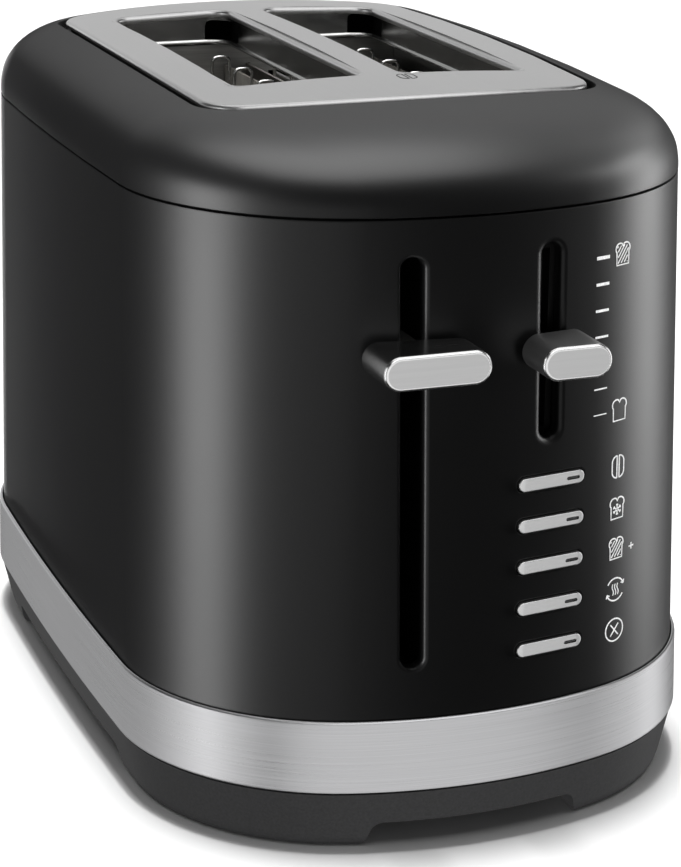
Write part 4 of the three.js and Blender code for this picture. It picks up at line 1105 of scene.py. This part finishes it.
def make_screws():
    """Pan head screws with a cross recess under the base."""
    head = [(0.05, 2.42), (2.2, 2.5), (3.0, 2.75), (3.5, 3.3), (3.6, 3.9), (3.6, 4.65)]
    shank = [(1.45, 4.65), (1.45, 9.6), (0.8, 10.25), (0.05, 10.25)]
    for corner, sx, sy in CORNERS:
        x, y = sx * SCREW_X, sy * SCREW_Y
        screw = turned_piece(f"base_screw_head_{corner}", x, y, head + shank, SCREW_STEEL, "screw_steel")
        arms = [rounded_box(x, y, w, h, 0.2, 2) for w, h in ((3.6, 0.75), (0.75, 3.6))]
        cut(screw, [cutter([at(arm, 1.5), at(arm, 3.7)]) for arm in arms])
        shade(screw, 35)
        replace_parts(screw, f"base_screw_{corner}")


def make_inlet():
    """Cord bush: flange with a rounded rim and a ribbed sleeve round the open bore."""
    bore, tail = 2.65, -7.0
    section = [(bore, tail), (4.4, tail), (4.4, 0.05), (7.3, 0.05), (7.45, 0.4)]
    section += [(7.45, 1.7), (7.2, 2.2), (6.6, 2.5), (5.2, 2.6)]
    for k in range(3):
        step = 2.7 + k * 1.05
        section += [(4.6, step), (4.6, step + 0.35), (5.3, step + 0.45), (5.3, step + 0.9)]
    section += [(5.0, 5.9), (3.2, 5.95), (bore, 5.5)]
    face = case_at(INLET_Z)["b"]
    profile = [(r, face + out) for r, out in section]
    bush = turned_piece("cord_bush", 0, INLET_Z, profile, BLACK_PLASTIC, "black_plastic", "y")
    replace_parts(bush, "cord_inlet")


def make_tray_door():
    """Tray front: a curved door skin with rounded edges. The pull block is a piece of its own."""
    columns = list(np.linspace(-DOOR_HALF, DOOR_HALF, 41))
    columns[1:1], columns[-1:-1] = [columns[0] + 0.35], [columns[-1] - 0.35]
    z0, z1 = DOOR_Z0, DOOR_Z1
    profile = [(z0, 0.5), (z0 + 0.15, 0.15), (z0 + 0.5, 0.0), (12.0, 0.0), (15.0, 0.0), (z1 - 0.5, 0.0)]
    profile += [(z1 - 0.15, 0.15), (z1, 0.5), (z1, DOOR_THICK), (15.0, DOOR_THICK), (12.0, DOOR_THICK)]
    profile += [(z0, DOOR_THICK)]
    rings = []
    for k, x in enumerate(columns):
        least = 0.45 if k in (0, len(columns) - 1) else 0.0
        deeps = [(z, max(least, deep) + DOOR_GAP) for z, deep in profile]
        rings.append([(x, -front_y(x, z, base_offset(z) - deep), z) for z, deep in deeps])
    look = dict(slot="dark_plastic", smooth_angle=28, body="tray")
    door = make_object("tray_door", *closed_stack(rings), BASE_PLASTIC, **look)
    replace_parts(door, "crumb_tray_handle")
    make_tray_pull(look)


def make_tray_pull(look):
    """The pull: a block with rounded edges, scooped from below for the fingers."""
    w, d = 2 * PULL_HALF, 2 * (PULL_FACE_Y - PULL_Y)
    edge = quarter_roll(0.9, 4)
    levels = [(PULL_Z0 + up, by) for by, up in edge] + [(DOOR_Z1 - 0.05 - up, by) for by, up in edge[::-1]]
    rings = [at(rounded_box(0, PULL_Y, w - 2 * by, d - 2 * by, PULL_R - by, 6), z) for z, by in levels]
    pull = stack("tray_pull", rings, BASE_PLASTIC, **look)
    hidden = [case_ring(z, base_offset(z) - DOOR_GAP - 0.6) for z in (8.0, 19.0)]
    scoop = [at(rounded_box(0, PULL_Y + 1.5, w - 8, 5.2, 2.4, 5), z) for z in (DOOR_Z0, 15.4)]
    cut(pull, [cutter(hidden), cutter(scoop)])
    shade(pull, 28)


def paint_frame():
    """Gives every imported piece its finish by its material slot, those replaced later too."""
    plain = dict(
        bright_sheet=BRIGHT_SHEET, wire_steel=WIRE_STEEL, black_plastic=BLACK_PLASTIC, foot_rubber=RUBBER,
        screw_steel=SCREW_STEEL, tray_sheet=TRAY_SHEET, coil_copper=COPPER, mica=MICA,
        heater_wire=HEATER_WIRE, circuit_board=BOARD, dark_plastic=BASE_PLASTIC, light_window=LENS_SMOKE,
        button_satin=BUTTON_SKIN, satin_knob=KNOB_SIDE, black_coat=BLACK_COAT, satin_steel=TOP_STEEL,
        brushed_band=BAND_STEEL,
    )
    for entry in frame["record"]["subparts"]:
        obj = frame["nodes"][entry["node"]]
        obj.data.materials.clear()
        obj.data.materials.append(plain[entry["material_slot"]])
        shade(obj, 30)


# ---- stage ----
# name, azimuth, elevation, distance, width, height, radiance; azimuth 0 is behind the toaster, 90 its right
LIGHTS = {
    "dark": (
        ("left", -95, -2, 2.0, 0.9, 1.7, 8.6),
        ("left_wing", -145, -8, 2.0, 1.9, 1.2, 0.5),
        ("right", 92, 10, 2.0, 1.0, 2.2, 6.4),
        ("right_high", 68, 34, 2.0, 1.0, 0.8, 1.8),
        ("above", 0, 82, 1.4, 1.15, 1.15, 4.4),
        ("behind", -1, -14, 2.0, 0.3, 1.2, 3.0),
        ("front", 175, 5, 2.0, 3.4, 2.4, 0.055),
        ("behind_high", 18, 32, 2.0, 2.6, 0.9, 0.6),
    ),
    "pale": (
        ("front", 180, -12, 2.0, 3.6, 2.6, 0.90),
        ("front_high", 165, 50, 2.0, 2.8, 1.5, 1.5),
        ("left", -96, -6, 2.0, 2.2, 2.2, 0.80),
        ("left_strip", -98, 0, 1.9, 0.4, 2.0, 1.3),
        ("left_rear", -36, -10, 2.0, 2.0, 2.0, 0.44),
        ("right", 96, -6, 2.0, 2.2, 2.2, 0.85),
        ("right_strip", 86, 0, 1.9, 0.4, 2.0, 1.0),
        ("behind", 12, 10, 2.0, 3.0, 2.0, 0.70),
        ("above", 20, 75, 1.6, 1.8, 1.8, 1.1),
    ),
    "inner": (("above", 0, 80, 1.4, 1.4, 1.4, 5.0),),
    "print": (("front", 175, 15, 2.0, 2.6, 2.0, 1.2),),
    "ground": (
        ("above", 0, 90, 2.2, 3.4, 3.4, 0.7),
        ("high", 0, 87, 6.0, 0.63, 0.63, 174),
        ("high_wide", 0, 84, 6.0, 1.7, 1.7, 30.4),
        ("front", 190, 30, 2.2, 3.4, 0.9, 0.15),
    ),
}


def make_floor():
    """Pale floor. Reflections pass through it, so that the low softboxes can be seen in the metal."""
    r = 6000.0
    plan = [(x, y - SHIFT_Y, 0) for x, y in ((-r, -r), (r, -r), (r, r), (-r, r))]
    floor = new_mesh("floor", plan, [(0, 1, 2, 3)])
    material, _, shader = node_material("pale_floor")
    shader.inputs["Base Color"].default_value = (0.9, 0.9, 0.9, 1)
    shader.inputs["Roughness"].default_value = 0.6
    shader.inputs["Specular IOR Level"].default_value = 0.2
    floor.data.materials.append(material)
    floor.visible_glossy = False
    floor.visible_diffuse = False
    floor.visible_shadow = False
    return floor


def make_world():
    """White where the camera sees it, nearly dark for everything else."""
    world = bpy.data.worlds.new("studio")
    bpy.context.scene.world = world
    world.use_nodes = True
    nodes, links = world.node_tree.nodes, world.node_tree.links
    path = nodes.new("ShaderNodeLightPath")
    seen = nodes.new("ShaderNodeMix")
    seen.data_type = "RGBA"
    links.new(path.outputs["Is Camera Ray"], seen.inputs["Factor"])
    seen.inputs["A"].default_value = (0.025, 0.025, 0.025, 1)
    seen.inputs["B"].default_value = (1, 1, 1, 1)
    links.new(seen.outputs["Result"], nodes["Background"].inputs["Color"])


def softbox(name, azimuth, elevation, distance, width, height, radiance, lit, casters):
    """A rectangular soft light at a bearing from the toaster, azimuth 0 behind it and 90 to its right."""
    az, el = math.radians(azimuth), math.radians(elevation)
    bearing = Vector((math.cos(el) * math.sin(az), math.cos(el) * math.cos(az), math.sin(el)))
    data = bpy.data.lights.new(name, "AREA")
    data.shape = "RECTANGLE"
    data.size, data.size_y = width, height
    data.energy = radiance * math.pi * width * height
    light = bpy.data.objects.new(name, data)
    bpy.context.scene.collection.objects.link(light)
    light.location = bearing * distance + Vector((0, 0, 0.1))
    light.rotation_mode = "QUATERNION"
    light.rotation_quaternion = bearing.to_track_quat("Z", "Y")
    light.visible_camera = False
    light.light_linking.receiver_collection = lit
    if casters:
        light.light_linking.blocker_collection = casters


def lit_group(name, wanted):
    group = bpy.data.collections.new(name)
    for obj in bpy.context.scene.objects:
        if obj.type == "MESH" and wanted(obj):
            group.objects.link(obj)
    return group


def make_lights(floor):
    """Black paint has tall side boxes and one overhead; metal and pale pieces have wide boxes all round.

    The knobs throw no shadow from the high floor lights.
    """
    dark_looks = {BLACK_COAT, BLACK_PLASTIC, SHADE_BLACK, RUBBER}
    inner_looks = {BRIGHT_SHEET, LINER_STEEL, WIRE_STEEL, MICA, HEATER_WIRE, SCREW_STEEL}

    def wears(obj, looks):
        return any(m in looks for m in obj.data.materials)

    def throws_shadow(obj):
        return obj is not floor and not obj.name.endswith("_grip")

    lit = {
        "dark": lit_group("dark_pieces", lambda obj: obj is not floor and wears(obj, dark_looks)),
        "pale": lit_group("pale_pieces", lambda obj: obj is not floor and not wears(obj, dark_looks)),
        "inner": lit_group("inner_pieces", lambda obj: wears(obj, inner_looks)),
        "print": lit_group("prints", lambda obj: wears(obj, {PRINT})),
        "ground": lit_group("ground", lambda obj: obj is floor),
    }
    casters = lit_group("floor_shadow_casters", throws_shadow)
    for group, rows in LIGHTS.items():
        for name, *facts in rows:
            blockers = casters if name.startswith("high") else None
            softbox(f"{group}_{name}", *facts, lit[group], blockers)


def make_camera():
    """Eye, aim and long lens that match the picture, looking down at the front left corner."""
    data = bpy.data.cameras.new("camera")
    camera = bpy.data.objects.new("camera", data)
    bpy.context.scene.collection.objects.link(camera)
    bpy.context.scene.camera = camera
    data.lens, data.sensor_width, data.sensor_fit = LENS_MM, 36.0, "AUTO"
    data.clip_start = 0.05
    yaw, pitch, roll = YAW, PITCH, ROLL
    forward = Vector((math.sin(yaw) * math.cos(pitch), math.cos(yaw) * math.cos(pitch), -math.sin(pitch)))
    right = Vector((math.cos(yaw), -math.sin(yaw), 0))
    up = right.cross(forward)
    turned = right * math.cos(roll) + up * math.sin(roll)
    raised = up * math.cos(roll) - right * math.sin(roll)
    spin = Matrix((turned, raised, -forward)).transposed()
    place = Vector(to_frame([EYE])[0])
    camera.matrix_world = Matrix.Translation(place) @ spin.to_4x4()


# ---- build ----
paint_frame()
make_camera()
make_world()
make_lid()
make_seam_shade_tongue()
make_body_shell()
front_lip("lever_slot_lip", lambda by: slot_ring(LEVER_SLOT, by, 14), LEVER_SLOT["lip"], 4.0)
front_lip("browning_slot_lip", lambda by: slot_ring(BROWNING_SLOT, by, 14), BROWNING_SLOT["lip"], 4.4)
for number, height in enumerate(BUTTON_Z, 1):
    hole = BUTTON_X, height, BUTTON_W + 0.6, BUTTON_H + 0.6
    front_lip(f"button_hole_lip_{number}", lambda by, hole=hole: pill(*hole, 12, -by), 0.5, 2.4)
    make_button(number, height)
slot_shade_guide("lever_slot_shade_guide", LEVER_SLOT)
slot_shade_guide("browning_slot_shade_guide", BROWNING_SLOT)
make_base_band()
make_base()
make_top_plate()
make_knob("lever_grip", LEVER, "lever_knob", "lift", KNOB_SIDE)
make_knob("browning_grip", BROWNING, "browning_knob", "browning_slider", SOFT_KNOB_SIDE)
make_ticks()
make_icons()
make_plate_icon()
make_guards()
make_spring()
make_feet()
make_screws()
make_inlet()
make_tray_door()
make_racks()
make_lights(make_floor())
bpy.context.scene.view_settings.view_transform = "Standard"
